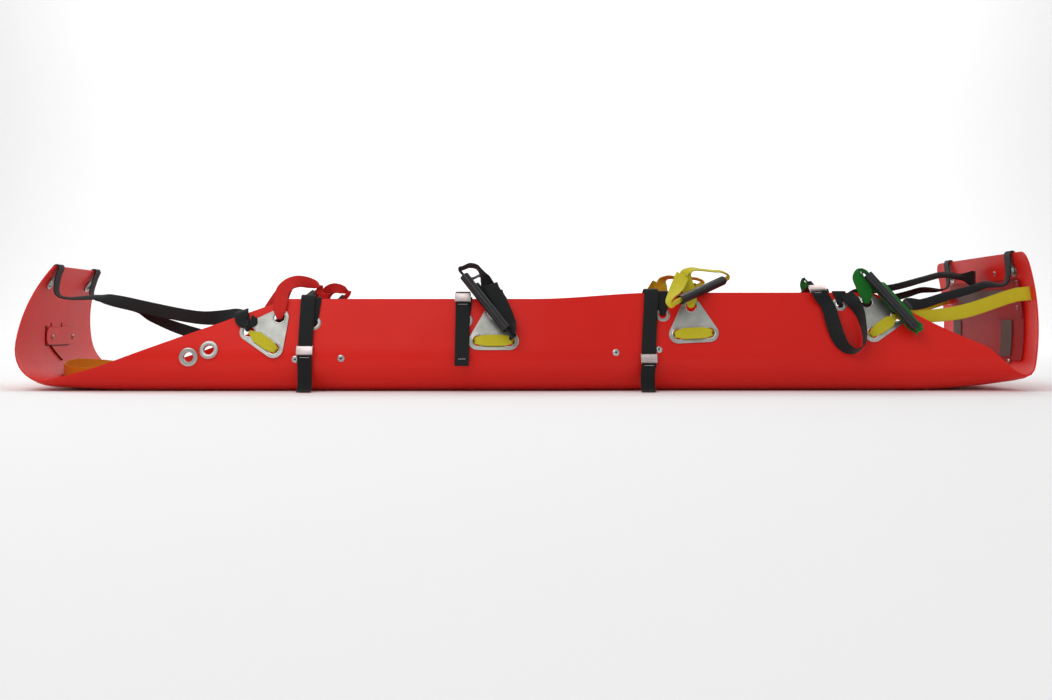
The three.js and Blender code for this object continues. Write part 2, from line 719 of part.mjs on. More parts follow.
// The slack tail of strap 4 hangs in a loop and comes back up beside itself.
const SLACK_LOOP = [
  [640, 190, 8, 30, [0.9, 0.35, 0]],
  [646, 172, 9, 30, [0.93, 0.3, 0.1]],
  [652, 140, 11, 30, [0.9, 0.25, 0.3]],
  [659, 113, 14, 30, [0.7, 0.3, 0.65]],
  [672, 93, 17, 28, [0.35, 0.3, 0.9]],
  [690, 86, 18, 28, [0, 0.1, 1]],
  [707, 96, 19, 28, [-0.1, 0, 1]],
  [712, 115, 19, 28, [0, 0, 1]],
  [712, 136, 19, 28, [0.1, 0, 1]],
  [708, 165, 17, 28, [0.35, 0.1, 0.9]],
  [701, 184, 14, 28, [0.6, 0.2, 0.7]],
  [692, 198, 9, 28, [0.9, 0.3, 0.15]],
  [686, 208, 7, 28, [1, 0.1, 0]],
];
const STRAP_T = 1.8;
const STRAP_OUT = 6.2;           // strap centre outside the wall
const ANCHOR_T = 1.4;
const ANCHOR_OUT = 2.5;
const CAM_CLEAR = 2;             // cam lever over the strap
const BUCKLE = { wide: 34, tall: 20, base: 1.2, wall: 1.5, high: 7.6 };
const CREST_OUT = 5;             // the tilted buckle's strap, out of the wall

// A buckle's frame: x along the wall, y up its strap, z out; it may tilt back.
function bucklePlace(strap, out) {
  const middle = onWall(strap.x + strap.lean * 0.8, strap.buckle, strap.tilt ? CREST_OUT : STRAP_OUT);
  return wallMatrix(middle)
    .multiply(new THREE.Matrix4().makeRotationX(-rad(strap.tilt)))
    .multiply(new THREE.Matrix4().makeTranslation(0, 0, out));
}

const acrossFar = (p) => new THREE.Vector3(p.x, -p.y, p.z);

function strapControls(strap, eyeletPlace) {
  const { x, lean, crest } = strap;
  const top = wallTop(x);
  const half = BUCKLE.tall / 2 + 2;
  const near = (z, out, dx = 0, side = WALL_X) => ({ p: onWall(x + dx, z, out), side: side.clone() });
  const far = (z, out, w, dx = 0) => ({ ...near(z, out, dx), p: acrossFar(onWall(x + dx, z, out)), w });
  const shift = eyeletPlace.x - x;
  const farCrest = 7;
  const controls = [
    far(eyeletPlace.z + 24, -6.8, 20, shift),
    far(eyeletPlace.z + 13, -6.6, 17, shift),
    far(eyeletPlace.z + 4, -5.6, 12, shift),
    far(eyeletPlace.z - 2, -1.5, 11, shift),
    far(eyeletPlace.z + 4, 3, 12, shift),
    far(eyeletPlace.z + 13, 5.2, 20, shift),
    far(top - 4, STRAP_OUT, WEB, shift * 0.2),
    far(top + farCrest, 2.5, WEB),
    far(top + farCrest, -8, WEB),
  ];
  const span = -onWall(x, top + farCrest, -8).y;
  for (const t of [0.75, 0.5, 0.25, 0, -0.25, -0.5, -0.75]) {
    const rise = THREE.MathUtils.lerp(crest, farCrest, (t + 1) / 2);
    const drop = strap.sag * (1 - t ** 4);
    controls.push({ p: new THREE.Vector3(x, span * t, top + rise - drop), side: WALL_X.clone() });
  }
  if (strap.tilt) {
    const place = bucklePlace(strap, 0);
    for (const up of [half + 5, half, -half, -half - 5]) {
      controls.push({ p: vec(0, up, 0).applyMatrix4(place), side: WALL_X.clone() });
    }
    for (const [loopX, z, out, w, side] of SLACK_LOOP) {
      controls.push({ p: onWall(loopX, z, out), w, side: wallWay(side) });
    }
    return controls;
  }
  controls.push(near(top + crest, -8), near(top + crest, 2.5));
  if (crest < half) controls.push(near(top - 4, STRAP_OUT));
  const buckleX = lean * 0.8;
  controls.push(near(strap.buckle + half, STRAP_OUT, buckleX));
  if (strap.tail > WALL_FOOT_Z - 40) {
    controls.push(near(strap.buckle - half, STRAP_OUT), near(strap.tail + 30, STRAP_OUT + 1));
    controls.push(near(strap.tail, STRAP_OUT + 4));
    return controls;
  }
  // under its buckle the tail hangs to the ground and curls out over it
  const hang = onWall(x + buckleX, strap.buckle - half, STRAP_OUT);
  controls.push({ p: hang, side: WALL_X.clone() });
  for (const [z, out] of [[40, -1.5], [14, 0], [4, 7], [strap.tail, 19]]) {
    controls.push({ p: vec(x + lean, hang.y - out, z), side: WALL_X.clone() });
  }
  return controls;
}

// The anchor loop rings the wall's top edge through its eyelet.
function anchorLoop(strap, e) {
  const top = wallTop(e.x);
  const controls = [
    [e.z - 2, -1.5, 11], [e.z + 4, 2.3, 12], [e.z + 12, ANCHOR_OUT, 20],
    [top - 3, ANCHOR_OUT, 27], [top + 2, ANCHOR_OUT - 1, 28], [top + 3, -1.5, 28],
    [top + 2.4, -SHEET - 1.2, 28], [top - 3, -SHEET - ANCHOR_OUT, 27],
    [e.z + 12, -SHEET - ANCHOR_OUT, 20], [e.z + 4, -SHEET - 2.3, 12],
  ].map(([z, out, w]) => ({ p: onWall(e.x, z, out), w, side: WALL_X.clone() }));
  return webbing(controls, { closed: true, thick: ANCHOR_T, steps: 1 });
}

// A cam buckle's frame in the wall frame: a channel with a bar at its foot.
function buckleFrame() {
  const { wide, tall, base, wall, high } = BUCKLE;
  const block = (w, h, d, x, y, z) => toSolid(new THREE.BoxGeometry(w, h, d).translate(x, y, z));
  const floor = block(wide, tall, base, 0, 0, base / 2);
  const cheek = (way) => block(wall, tall, high, way * (wide - wall) / 2, 0, high / 2);
  const bar = block(wide, 3, 1.6, 0, -tall / 2 + 1.5, high - 2.6);
  return floor.add(cheek(-1)).add(cheek(1)).add(bar);
}

// The cam lever: a nose on the strap and a thumb plate over the whole frame.
function camLever() {
  const { wide, tall, wall } = BUCKLE;
  const side = new THREE.Shape();
  side.moveTo(9, 0);
  side.absarc(6.5, 1.5, 2.5, 0, Math.PI / 2, false);
  side.lineTo(2, 4);
  side.lineTo(2, 1);
  side.lineTo(6, -0.4);
  side.closePath();
  const width = wide - 2 * wall - 1.2;
  const nose = new THREE.ExtrudeGeometry(side, { depth: width, bevelEnabled: false, curveSegments: 4 });
  nose.translate(0, 0, -width / 2);
  nose.applyMatrix4(new THREE.Matrix4().makeBasis(vec(0, 1, 0), vec(0, 0, 1), vec(1, 0, 0)));
  const thumb = new THREE.BoxGeometry(wide, tall - 4, 1.4).translate(0, -2, 3.3);
  return toGeometry(toSolid(nose).add(toSolid(thumb)));
}

function addStraps() {
  STRAPS.forEach((strap, i) => {
    const e = STRAP_EYELETS[i];
    add(strap.name, webbing(strapControls(strap, e), { thick: STRAP_T, steps: 1 }), BLACK_WEB);
    add(`${strap.name}_anchor`, anchorLoop(strap, e), BLACK_WEB);
    const low = bucklePlace(strap, -STRAP_T / 2 - 0.35 - BUCKLE.base);
    add(`${strap.name}_buckle`, toGeometry(buckleFrame()).applyMatrix4(low), BUCKLE_STEEL);
    const high = bucklePlace(strap, STRAP_T / 2 + CAM_CLEAR);
    add(`${strap.name}_cam`, camLever().applyMatrix4(high), BUCKLE_STEEL);
  });
}

// ---------------------------------------------------------------- end straps

// A strap that mirrors itself: the near half's controls, then the far half's.
function bothSides(half, middle) {
  const farHalf = half.slice().reverse().map(({ p, side, w, t }) =>
    ({ p: acrossFar(p), side: vec(side.x, -side.y, side.z).negate(), w, t }));
  const all = [...half, ...middle, ...farHalf];
  for (let i = 1; i < all.length; i += 1) {
    if (all[i].side.dot(all[i - 1].side) < 0) all[i].side.negate();
  }
  return all;
}

const HOLE_SHARE = 5;            // two straps share a hole side by side

// How far the far run hangs below the near one: from x, to x, drop.
const FOOT_SLACK = [[-970, -940, 26], [-940, -900, 40], [-900, -800, 58], [-800, -660, 62], [-660, -630, 20]];

function footStrap() {
  const plate = PLATES[0];
  const hole = (out, dx, dy) => plateHole(plate, 1, out, [dx, dy]);
  const v = CORNER_EYELETS.foot.v;
  const tip = FOOT_END;
  const side = vec(0, 1, 0);
  const half = [
    { p: hole(-8.5, -12, 16), side: plateWay(plate, 1, 0.6), w: 16 },
    { p: hole(-6, -8, 6), side: plateWay(plate, 1, 0.8), w: 11 },
    { p: hole(-0.5, -HOLE_SHARE, 0), side: plateWay(plate, 1, 0.9), w: 10 },
    { p: hole(4.8, -HOLE_SHARE - 2, 7), side: plateWay(plate, 1, 0.9), w: 12 },
    { p: hole(5, -9, 21), side: plateWay(plate, 1, 0.6), w: 26 },
    { p: onWall(-598, 150, 4.8), side: wallWay([1, 0.4, 0]) },
    { p: onWall(-602, 165, 4.4), side: wallWay([0.94, 0.34, 0]) },
    { p: onWall(-604, 171, -1.5), side: wallWay([0.94, 0.34, 0]) },
    { p: onWall(-608, 168, -9), side: wallWay([0.9, 0.45, 0]) },
    { p: onWall(-640, 160, -22), side: wallWay([0.1, 1, 0]) },
    { p: vec(-692, -215, 156), side: vec(0, -0.3, 1) },
    { p: vec(-834, -165, 179), side: vec(0, -0.3, 1) },
    { p: vec(-927, -135, 199), side: vec(0.1, 0.4, 0.9), w: 24 },
    { p: vec(-960, -122, 204), side: vec(0.1, 0.8, 0.6), w: 18 },
    { p: onSheet(tip + 62, -v + 6, -SHEET - 24), side, w: 26 },
    { p: onSheet(tip + 22, -v, -SHEET - 8), side },
    { p: onSheet(tip + 1, -v, -SHEET - 4), side },
    { p: onSheet(tip - 4, -v, -SHEET / 2), side },
    { p: onSheet(tip + 1, -v, 4), side },
    { p: onSheet(tip + 22, -v + 4, 5), side: vec(0.3, 1, 0.3) },
    { p: onSheet(tip + 36, -v + 24, 5), side: vec(0.5, 0.3, 0.8) },
  ];
  const middle = [{ p: onSheet(tip + 38, 0, 5), side: vec(0.5, 0, 0.8) }];
  const controls = bothSides(half, middle);
  // the far run hangs slack
  for (const { p } of controls.slice(half.length)) {
    const slack = FOOT_SLACK.find(([from, to]) => p.x >= from && p.x < to);
    if (slack) p.z -= slack[2];
  }
  return webbing(controls, { steps: 1 });
}

function headStrap() {
  const plate = PLATES[3];
  const hole = (out, dx, dy) => plateHole(plate, 2, out, [dx, dy]);
  const v = CORNER_EYELETS.head.v;
  const tip = HEAD_END;
  const side = vec(0, 1, 0);
  const half = [
    { p: hole(-8.5, -2, 22), side: plateWay(plate, 1, -0.2), w: 16 },
    { p: hole(-6.2, 2, 12), side: plateWay(plate, 1, -0.5), w: 11 },
    { p: hole(-0.5, HOLE_SHARE, 3), side: plateWay(plate, 1, -0.9), w: 10 },
    { p: hole(5.4, HOLE_SHARE + 2, 8), side: plateWay(plate, 1, -0.8), w: 12 },
    { p: onWall(803, 174, 6.2), side: wallWay([0.8, -0.6, 0]), w: 24 },
    { p: onWall(814, 183, 4), side: wallWay([0.7, -0.7, 0]), w: 26 },
    { p: onWall(824, 186, -7), side: wallWay([0.5, -0.9, 0]) },
    { p: vec(850, -216, 186), side: vec(0, 0.1, 1), w: 22 },
    { p: vec(901, -208, 201), side: vec(0, 0.2, 1), w: 20 },
    { p: vec(970, -200, 220), side: vec(0, 0.3, 0.9), w: 18 },
    { p: vec(1000, -192, 230), side: vec(0, 0.6, 0.8), w: 18 },
    { p: onSheet(tip - 62, -v + 3, -SHEET - 22), side, w: 20 },
    { p: onSheet(tip - 24, -v, -SHEET - 9), side },
    { p: onSheet(tip - 1, -v, -SHEET - 4), side },
    { p: onSheet(tip + 4, -v, -SHEET / 2), side },
    { p: onSheet(tip - 1, -v, 4), side },
    { p: onSheet(tip - 22, -v + 4, 5), side: vec(-0.3, 1, 0.3) },
    { p: onSheet(tip - 36, -v + 24, 5), side: vec(-0.3, 0.3, 0.9) },
  ];
  const middle = [{ p: onSheet(tip - 38, 0, 5), side: vec(-0.3, 0, 0.95) }];
  return webbing(bothSides(half, middle), { steps: 1 });
}

// The bridle crosses the outside of every plate between its base holes and
// runs inside the wall between plates; at the head it passes the side slots.
const BRIDLE_SHARE = 7.5;        // its shift where another strap uses the same hole
const INSIDE_RUN = { clear: 55, z: 114, out: -8.5 };

function liftingBridle() {
  const half = [];
  PLATES.forEach((plate, i) => {
    const flat = plateWay(plate, 0, 1);
    const at = (k, out, dx, dy, w) => ({ p: plateHole(plate, k, out, [dx, dy]), side: flat.clone(), w });
    // at the foot the bridle turns back in its hole, elsewhere it runs through
    const inward = i === 0 ? 17 : -14;
    const foot = i === 0 ? BRIDLE_SHARE : 0;
    const head = i === 3 ? -BRIDLE_SHARE : 0;
    const lift = i === 0 ? 8 : -4;
    half.push(at(1, -8, foot + inward - 3, lift, 14));
    half.push(at(1, -5.5, foot + inward * 0.35 - 4, 0, 10));
    half.push(at(1, -1.5, foot - 7, -1, foot ? 7 : 11));
    half.push(at(1, 2.6, foot - 5, -0.5, foot ? 8 : 14));
    half.push(at(1, 4.9, foot + 3, 0, foot ? 12 : 20));
    half.push(at(1, 5.3, foot + 15, 0, 25));
    half.push(at(2, 5.3, head - 15, 0, 25));
    half.push(at(2, 4.9, head - 3, 0, head ? 12 : 20));
    half.push(at(2, 2.6, head + 5, -0.5, head ? 8 : 14));
    half.push(at(2, -1.5, head + 5.5, -1, head ? 7 : 10));
    half.push(at(2, -8.5, head + 13, lift, 14));
    const next = PLATES[i + 1];
    if (next) {
      const from = plateHole(plate, 2).x + INSIDE_RUN.clear;
      const to = plateHole(next, 1).x - INSIDE_RUN.clear;
      for (const x of [from, to]) {
        half.push({ p: onWall(x, INSIDE_RUN.z, INSIDE_RUN.out), side: WALL_UP.clone() });
      }
    }
  });
  const slot = BRIDLE_SLOT;
  const upright = vec(-0.2, 0, 1);
  half.push({ p: onWall(835, 158, -16), side: vec(0.1, 0.2, 1), w: 26 });
  half.push({ p: onWall(940, 169, -24), side: vec(0, 0.1, 1) });
  half.push({ p: onSheet(slot.s, -slot.v + 22, -SHEET - 22), side: upright.clone() });
  half.push({ p: onSheet(slot.s, -slot.v + 2, -SHEET - 7), side: upright.clone() });
  half.push({ p: onSheet(slot.s, -slot.v, -SHEET / 2), side: upright.clone() });
  half.push({ p: onSheet(slot.s, -slot.v + 4, 4), side: upright.clone() });
  half.push({ p: onSheet(slot.s, -slot.v + 40, 6), side: upright.clone() });
  return webbing(bothSides(half, [{ p: onSheet(slot.s, 0, 6), side: upright.clone() }]), { steps: 1 });
}

// The head harness: a strap from the near wall to a folded bundle.
function headHarness() {
  const face = HEAD_END - 46;
  const end = onSheet(face, -10, -SHEET - 22);
  return webbing([
    { p: onWall(692, 170, -7), side: wallWay([1, 0, 0]), w: 18 },
    { p: onWall(696, 194, -14), side: wallWay([1, -0.3, 0]), w: 20 },
    { p: onWall(716, 210, -30), side: vec(0.5, 0.2, -0.6), w: 18 },
    { p: vec(800, -185, 222), side: vec(0, 0.4, -0.9), w: 16 },
    { p: vec(880, -150, 242), side: vec(0, -0.2, -0.95), w: 14 },
    { p: vec(935, -110, 254), side: vec(0, -0.3, -0.95), w: 14 },
    { p: end.clone().add(vec(-40, -22, 4)), side: vec(0, -0.3, -0.95), w: 16 },
    { p: end.clone().add(vec(-12, -14, 0)), side: vec(0, -0.2, -0.97), w: 38, t: 8 },
    { p: end.clone().add(vec(-2, 6, -2)), side: vec(0, 0, -1), w: 42, t: 14 },
    { p: end.clone().add(vec(2, 26, -2)), side: vec(0, 0, -1), w: 36, t: 12 },
  ], { steps: 1 });
}

// ---------------------------------------------------------------- assembly
add("sheet", sheet(), RED_SHEET);
add("head_board", headBoard(), DARK_RED);
addPlates();
addEyelets();
addHandles();
addStraps();
add("foot_strap", footStrap(), BLACK_WEB);
add("head_strap", headStrap(), BLACK_WEB);
add("lifting_bridle", liftingBridle(), WEB_COLOUR.yellow);
add("head_harness", headHarness(), BLACK_WEB);

export default stretcher;
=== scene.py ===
import math

import bpy
from mathutils import Matrix, Vector


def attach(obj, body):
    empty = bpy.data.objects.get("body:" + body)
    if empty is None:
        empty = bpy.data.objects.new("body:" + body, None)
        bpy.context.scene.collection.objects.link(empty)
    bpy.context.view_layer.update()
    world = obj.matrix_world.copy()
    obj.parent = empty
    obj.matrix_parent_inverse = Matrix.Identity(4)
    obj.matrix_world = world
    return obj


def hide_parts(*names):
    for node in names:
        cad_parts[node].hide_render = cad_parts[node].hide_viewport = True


# Looks for the roll-up rescue stretcher.  Places are worked out in
# millimetres in the CAD frame (+Z up, +X to the head, -Y near) and turned
# into metres when a mesh is made.
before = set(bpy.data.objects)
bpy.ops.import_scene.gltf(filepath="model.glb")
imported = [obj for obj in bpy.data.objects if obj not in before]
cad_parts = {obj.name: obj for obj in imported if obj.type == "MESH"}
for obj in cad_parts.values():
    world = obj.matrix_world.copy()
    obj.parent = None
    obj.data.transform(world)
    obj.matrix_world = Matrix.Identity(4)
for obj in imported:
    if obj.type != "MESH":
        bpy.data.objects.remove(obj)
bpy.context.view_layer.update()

MM = 0.001
BODY = "stretcher"
UP = Vector((0, 0, 1))
SHARP = math.radians(35)

# ---- sizes shared with the CAD
SHEET = 3.0
HALF_WIDTH = 450.0
FLOOR_FOOT = 208.5
FLOOR_HEAD = 194.0
FLOOR_CHANGE = (20.0, 285.0)
SIDE_R = 68.0
SIDE_TURN = math.radians(108)
SIDE_ARC = SIDE_R * SIDE_TURN
# each end: a flat run, then arcs (radius, degrees) that all turn upwards
HEAD = (812, (1440, 9.6), (40, 72), (520, 27.4))
FOOT = (800, (3000, 4.2), (95, 85.8), (298, 35))
FOOT_TAPER = -507.0
FOOT_TIP_HALF = 130.0
HEAD_TAPER = (745.0, 1080.0)
HEAD_HALF = (268.0, 256.0)
HEAD_CORNER = 35.0
CURL_FROM = 980.0
CURL_TO = 1085.0
CURL_LEFT = 0.12
WEB = 30.0
WEB_T = 2.2
PLATE_T = 2.0
PLATE_GAP = 0.4
PLATE_HOLE_R = 12.0
PLATE_BASE = 66.0
PLATE_HEIGHT = 61.0
PLATE_CORNER = 20.0
GRIP_R = 10.0
GRIP_BORE = 8.0
GRIP_LENGTH = 150.0


# ---- small maths
def lerp(a, b, t):
    return a + (b - a) * t


def smoothstep(x, a, b):
    t = min(1.0, max(0.0, (x - a) / (b - a)))
    return t * t * (3 - 2 * t)


def steps(a, b, count):
    """count + 1 even values from a to b."""
    return [lerp(a, b, i / count) for i in range(count + 1)]


def basis(x, y, z, origin):
    """The matrix whose axes are x, y and z at origin."""
    return Matrix((
        (x[0], y[0], z[0], origin[0]),
        (x[1], y[1], z[1], origin[1]),
        (x[2], y[2], z[2], origin[2]),
        (0, 0, 0, 1),
    ))


# ---- the sheet's surface
def end_profile(flat, *arcs):
    """One end's profile as (length, turn) runs."""
    return [(flat, 0.0)] + [(r * math.radians(turn), math.radians(turn)) for r, turn in arcs]


HEAD_ARCS = end_profile(*HEAD)
FOOT_ARCS = end_profile(*FOOT)
HEAD_END = sum(length for length, _ in HEAD_ARCS)
FOOT_END = -sum(length for length, _ in FOOT_ARCS)


def profile(s):
    """Point and normal of the centre line at arc length s."""
    left = abs(s)
    x = z = slope = 0.0
    for length, full_turn in FOOT_ARCS if s < 0 else HEAD_ARCS:
        part = min(left, length)
        turn = full_turn * part / length
        if turn > 0:
            r = part / turn
            x += r * (math.sin(slope + turn) - math.sin(slope))
            z += r * (math.cos(slope) - math.cos(slope + turn))
        else:
            x += part
        slope += turn
        left -= part
    x += left * math.cos(slope)
    z += left * math.sin(slope)
    way = -1 if s < 0 else 1
    return way * x, z, -way * math.sin(slope), math.cos(slope)


def floor_half(s):
    return lerp(FLOOR_FOOT, FLOOR_HEAD, smoothstep(s, *FLOOR_CHANGE))


def section(s, v):
    """The trough's cross section: place across and height for v along it."""
    floor = floor_half(s)
    a = abs(v)
    side = math.copysign(1, v)
    if a <= floor:
        return v, 0.0
    turn = (a - floor) / SIDE_R
    if turn <= SIDE_TURN:
        return side * (floor + SIDE_R * math.sin(turn)), SIDE_R * (1 - math.cos(turn))
    wall = a - floor - SIDE_ARC
    across = floor + SIDE_R * math.sin(SIDE_TURN) + wall * math.cos(SIDE_TURN)
    return side * across, SIDE_R * (1 - math.cos(SIDE_TURN)) + wall * math.sin(SIDE_TURN)


def outer_face(s, v):
    x, z, nx, nz = profile(s)
    y, h = section(s, v)
    h *= lerp(1.0, CURL_LEFT, smoothstep(s, CURL_FROM, CURL_TO))
    return Vector((x + nx * h, y, z + nz * h))


def frame_at(s, v):
    """Origin, way along, way across and way out of the sheet's outer face."""
    step = 0.5
    along = (outer_face(s + step, v) - outer_face(s - step, v)).normalized()
    across = (outer_face(s, v + step) - outer_face(s, v - step)).normalized()
    return outer_face(s, v), along, across, across.cross(along).normalized()


def on_sheet(s, v, out):
    origin, _, _, way_out = frame_at(s, v)
    return origin + way_out * out


def sheet_matrix(s, v, out=0.0):
    """A frame on the sheet: x along, y across, z out."""
    origin, along, _, way_out = frame_at(s, v)
    return basis(along, way_out.cross(along), way_out, origin + way_out * out)


def half_width(s):
    """Half width of the flat sheet at arc length s."""
    if s < FOOT_TAPER:
        return lerp(HALF_WIDTH, FOOT_TIP_HALF, (s - FOOT_TAPER) / (FOOT_END - FOOT_TAPER))
    if s < HEAD_TAPER[0]:
        return HALF_WIDTH
    if s < HEAD_TAPER[1]:
        return lerp(HALF_WIDTH, HEAD_HALF[0], (s - HEAD_TAPER[0]) / (HEAD_TAPER[1] - HEAD_TAPER[0]))
    half = lerp(HEAD_HALF[0], HEAD_HALF[1], (s - HEAD_TAPER[1]) / (HEAD_END - HEAD_TAPER[1]))
    corner = max(0.0, s - (HEAD_END - HEAD_CORNER))
    return half - HEAD_CORNER + math.sqrt(max(0.0, HEAD_CORNER ** 2 - corner ** 2))


# ---- the near wall
# Places on it are (x, height, distance out), ways are (x, up, out).
WALL_UP = Vector((0, -math.cos(SIDE_TURN), math.sin(SIDE_TURN)))
WALL_OUT = Vector((0, -math.sin(SIDE_TURN), -math.cos(SIDE_TURN)))
WALL_X = Vector((1, 0, 0))
WALL_FOOT_Z = SIDE_R * (1 - math.cos(SIDE_TURN))


def on_wall(x, z, out=0.0):
    rise = (z - WALL_FOOT_Z - out * WALL_OUT.z) / WALL_UP.z
    y = -(floor_half(x) + SIDE_R * math.sin(SIDE_TURN))
    return Vector((x, y, WALL_FOOT_Z)) + WALL_UP * rise + WALL_OUT * out


def wall_way(x, up, out=0.0):
    return WALL_X * x + WALL_UP * up + WALL_OUT * out


def wall_matrix(point, turn=0.0):
    return basis(WALL_X, WALL_UP, WALL_OUT, point) @ Matrix.Rotation(turn, 4, "Z")


def wall_top(x):
    return WALL_FOOT_Z + (half_width(x) - floor_half(x) - SIDE_ARC) * WALL_UP.z


def side_place(x, z):
    """The place across the sheet whose near outer face is at height z."""
    if z < WALL_FOOT_Z:
        return -(floor_half(x) + SIDE_R * math.acos(1 - z / SIDE_R))
    return -(floor_half(x) + SIDE_ARC + (z - WALL_FOOT_Z) / WALL_UP.z)


def across_far(p):
    return Vector((p[0], -p[1], p[2]))


# ---- mesh building
class Shape:
    """Points in millimetres with faces and a flat map in millimetres."""

    def __init__(self):
        self.points = []
        self.faces = []
        self.map = []

    def add(self, points, faces, uv=None):
        base = len(self.points)
        self.points += [Vector(p) for p in points]
        for k, face in enumerate(faces):
            self.faces.append([base + i for i in face])
            self.map.append(uv[k] if uv else [(0.0, 0.0)] * len(face))
        return self

    def join(self, other):
        return self.add(other.points, other.faces, other.map)

    def moved(self, matrix):
        made = Shape()
        made.add([matrix @ p for p in self.points], self.faces, self.map)
        if matrix.determinant() < 0:
            made.faces = [face[::-1] for face in made.faces]
            made.map = [corner[::-1] for corner in made.map]
        return made

    def mirrored(self):
        return self.moved(Matrix.Scale(-1, 4, (0, 1, 0)))


def make_mesh(name, shape):
    mesh = bpy.data.meshes.new(name)
    mesh.from_pydata([p * MM for p in shape.points], [], shape.faces)
    layer = mesh.uv_layers.new(name="flat")
    flat = [value for corners in shape.map for corner in corners for value in corner]
    layer.data.foreach_set("uv", flat)
    mesh.update()
    mesh.shade_smooth()
    mesh.set_sharp_from_angle(angle=SHARP)
    return mesh


def piece(name, shape, material, body=BODY, replaces=()):
    """One named object of the visual model, riding on a CAD body."""
    made = bpy.data.objects.new(name, make_mesh(name, shape))
    bpy.context.scene.collection.objects.link(made)
    made.data.materials.append(material)
    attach(made, body)
    if replaces:
        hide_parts(*replaces)
    return made


def pair(name, shape, material, body=None, replaces=True):
    """The near piece and its mirror image, on the stretcher or on a pair of bodies."""
    for side, made in (("near", shape), ("far", shape.mirrored())):
        stands_for = (f"{name}_{side}",) if replaces else ()
        rides = f"{body}_{side}" if body else BODY
        piece(f"{name}_{side}_look", made, material, rides, stands_for)


def grid_faces(rows, columns, wrap_rows=False, wrap_columns=False):
    faces = []
    for i in range(rows if wrap_rows else rows - 1):
        for j in range(columns if wrap_columns else columns - 1):
            k = (i + 1) % rows
            m = (j + 1) % columns
            faces.append([i * columns + j, i * columns + m, k * columns + m, k * columns + j])
    return faces


def caps(ring, rows):
    """The two end faces of rows of ring points."""
    last = (rows - 1) * ring
    return [list(range(ring))[::-1], list(range(last, last + ring))]


def skins(rows, columns, points):
    """Two layers of rows by columns points, closed along their rim."""
    count = rows * columns
    faces = grid_faces(rows, columns)
    faces += [[k + count for k in face[::-1]] for face in grid_faces(rows, columns)]
    rim = list(range(columns - 1))
    rim += [i * columns + columns - 1 for i in range(rows - 1)]
    rim += [(rows - 1) * columns + j for j in range(columns - 1, 0, -1)]
    rim += [i * columns for i in range(rows - 1, 0, -1)]
    faces += [[b, a, a + count, b + count] for a, b in zip(rim, rim[1:] + rim[:1])]
    return outward(Shape().add(points, faces))


def outward(shape):
    """Turns every face over when the closed shape is inside out."""
    volume = 0.0
    for face in shape.faces:
        a = shape.points[face[0]]
        for k in range(1, len(face) - 1):
            volume += a.dot(shape.points[face[k]].cross(shape.points[face[k + 1]]))
    if volume < 0:
        shape.faces = [face[::-1] for face in shape.faces]
        shape.map = [corner[::-1] for corner in shape.map]
    return shape


def lathe(outline, sides=40, closed=True):
    """(radius, height) points turned about z."""
    points = []
    for r, h in outline:
        for k in range(sides):
            turn = 2 * math.pi * k / sides
            points.append((r * math.cos(turn), r * math.sin(turn), h))
    faces = grid_faces(len(outline), sides, closed, True)
    return Shape().add(points, [face[::-1] for face in faces])


def dome(radius, height, sides=28, rings=6):
    """A dome with a flat base on z = 0."""
    outline = [(0.001, 0.0)]
    for turn in steps(0, math.pi / 2, rings):
        outline.append((max(0.001, radius * math.cos(turn)), height * math.sin(turn)))
    return lathe(outline[::-1], sides, closed=False)


def tube(path, radius, sides=10, closed=True, flat=1.0):
    """A round rod along a path that lies near a plane facing z."""
    points = []
    count = len(path)
    for i, p in enumerate(path):
        before = path[(i - 1) % count] if closed or i else p
        after = path[(i + 1) % count] if closed or i + 1 < count else p
        way = (after - before).normalized()
        side = way.cross(UP)
        side = side.normalized() if side.length > 1e-6 else Vector((1, 0, 0))
        up = side.cross(way)
        for k in range(sides):
            turn = 2 * math.pi * k / sides
            points.append(p + side * radius * math.cos(turn) + up * radius * flat * math.sin(turn))
    faces = grid_faces(count, sides, closed, True)
    if not closed:
        faces += caps(sides, count)
    return Shape().add(points, faces)


def block(width, height, depth, round_=0.6):
    """A box centred on x and y that stands on z = 0, its rim rounded."""
    levels = ((0, round_ * 0.4), (round_ * 0.4, 0), (depth - round_, 0),
              (depth - round_ * 0.3, round_ * 0.3), (depth, round_))
    points = []
    for z, shrink in levels:
        w = width / 2 - shrink
        h = height / 2 - shrink
        r = min(round_ * 1.6, w * 0.9, h * 0.9)
        for corner, (sx, sy) in enumerate(((1, 1), (-1, 1), (-1, -1), (1, -1))):
            for turn in (0, 30, 60, 90):
                a = math.radians(90 * corner + turn)
                points.append((sx * (w - r) + r * math.cos(a), sy * (h - r) + r * math.sin(a), z))
    ring = len(points) // len(levels)
    return Shape().add(points, grid_faces(len(levels), ring, False, True) + caps(ring, len(levels)))


def bolster(outline, holes, depth, edge):
    """A flat plate with rounded edges from a 2-D outline and round holes."""
    curve = bpy.data.curves.new("outline", "CURVE")
    curve.dimensions = "2D"
    curve.fill_mode = "BOTH"
    curve.extrude = depth / 2 - edge
    curve.bevel_depth = edge
    curve.bevel_resolution = 2
    curve.offset = -edge
    for loop in [outline] + holes:
        spline = curve.splines.new("POLY")
        spline.points.add(len(loop) - 1)
        for point, (x, y) in zip(spline.points, loop):
            point.co = (x, y, 0, 1)
        spline.use_cyclic_u = True
    made = bpy.data.objects.new("outline", curve)
    mesh = bpy.data.meshes.new_from_object(made)
    points = [v.co + Vector((0, 0, depth / 2)) for v in mesh.vertices]
    faces = [list(p.vertices) for p in mesh.polygons]
    bpy.data.objects.remove(made)
    return Shape().add(points, faces)


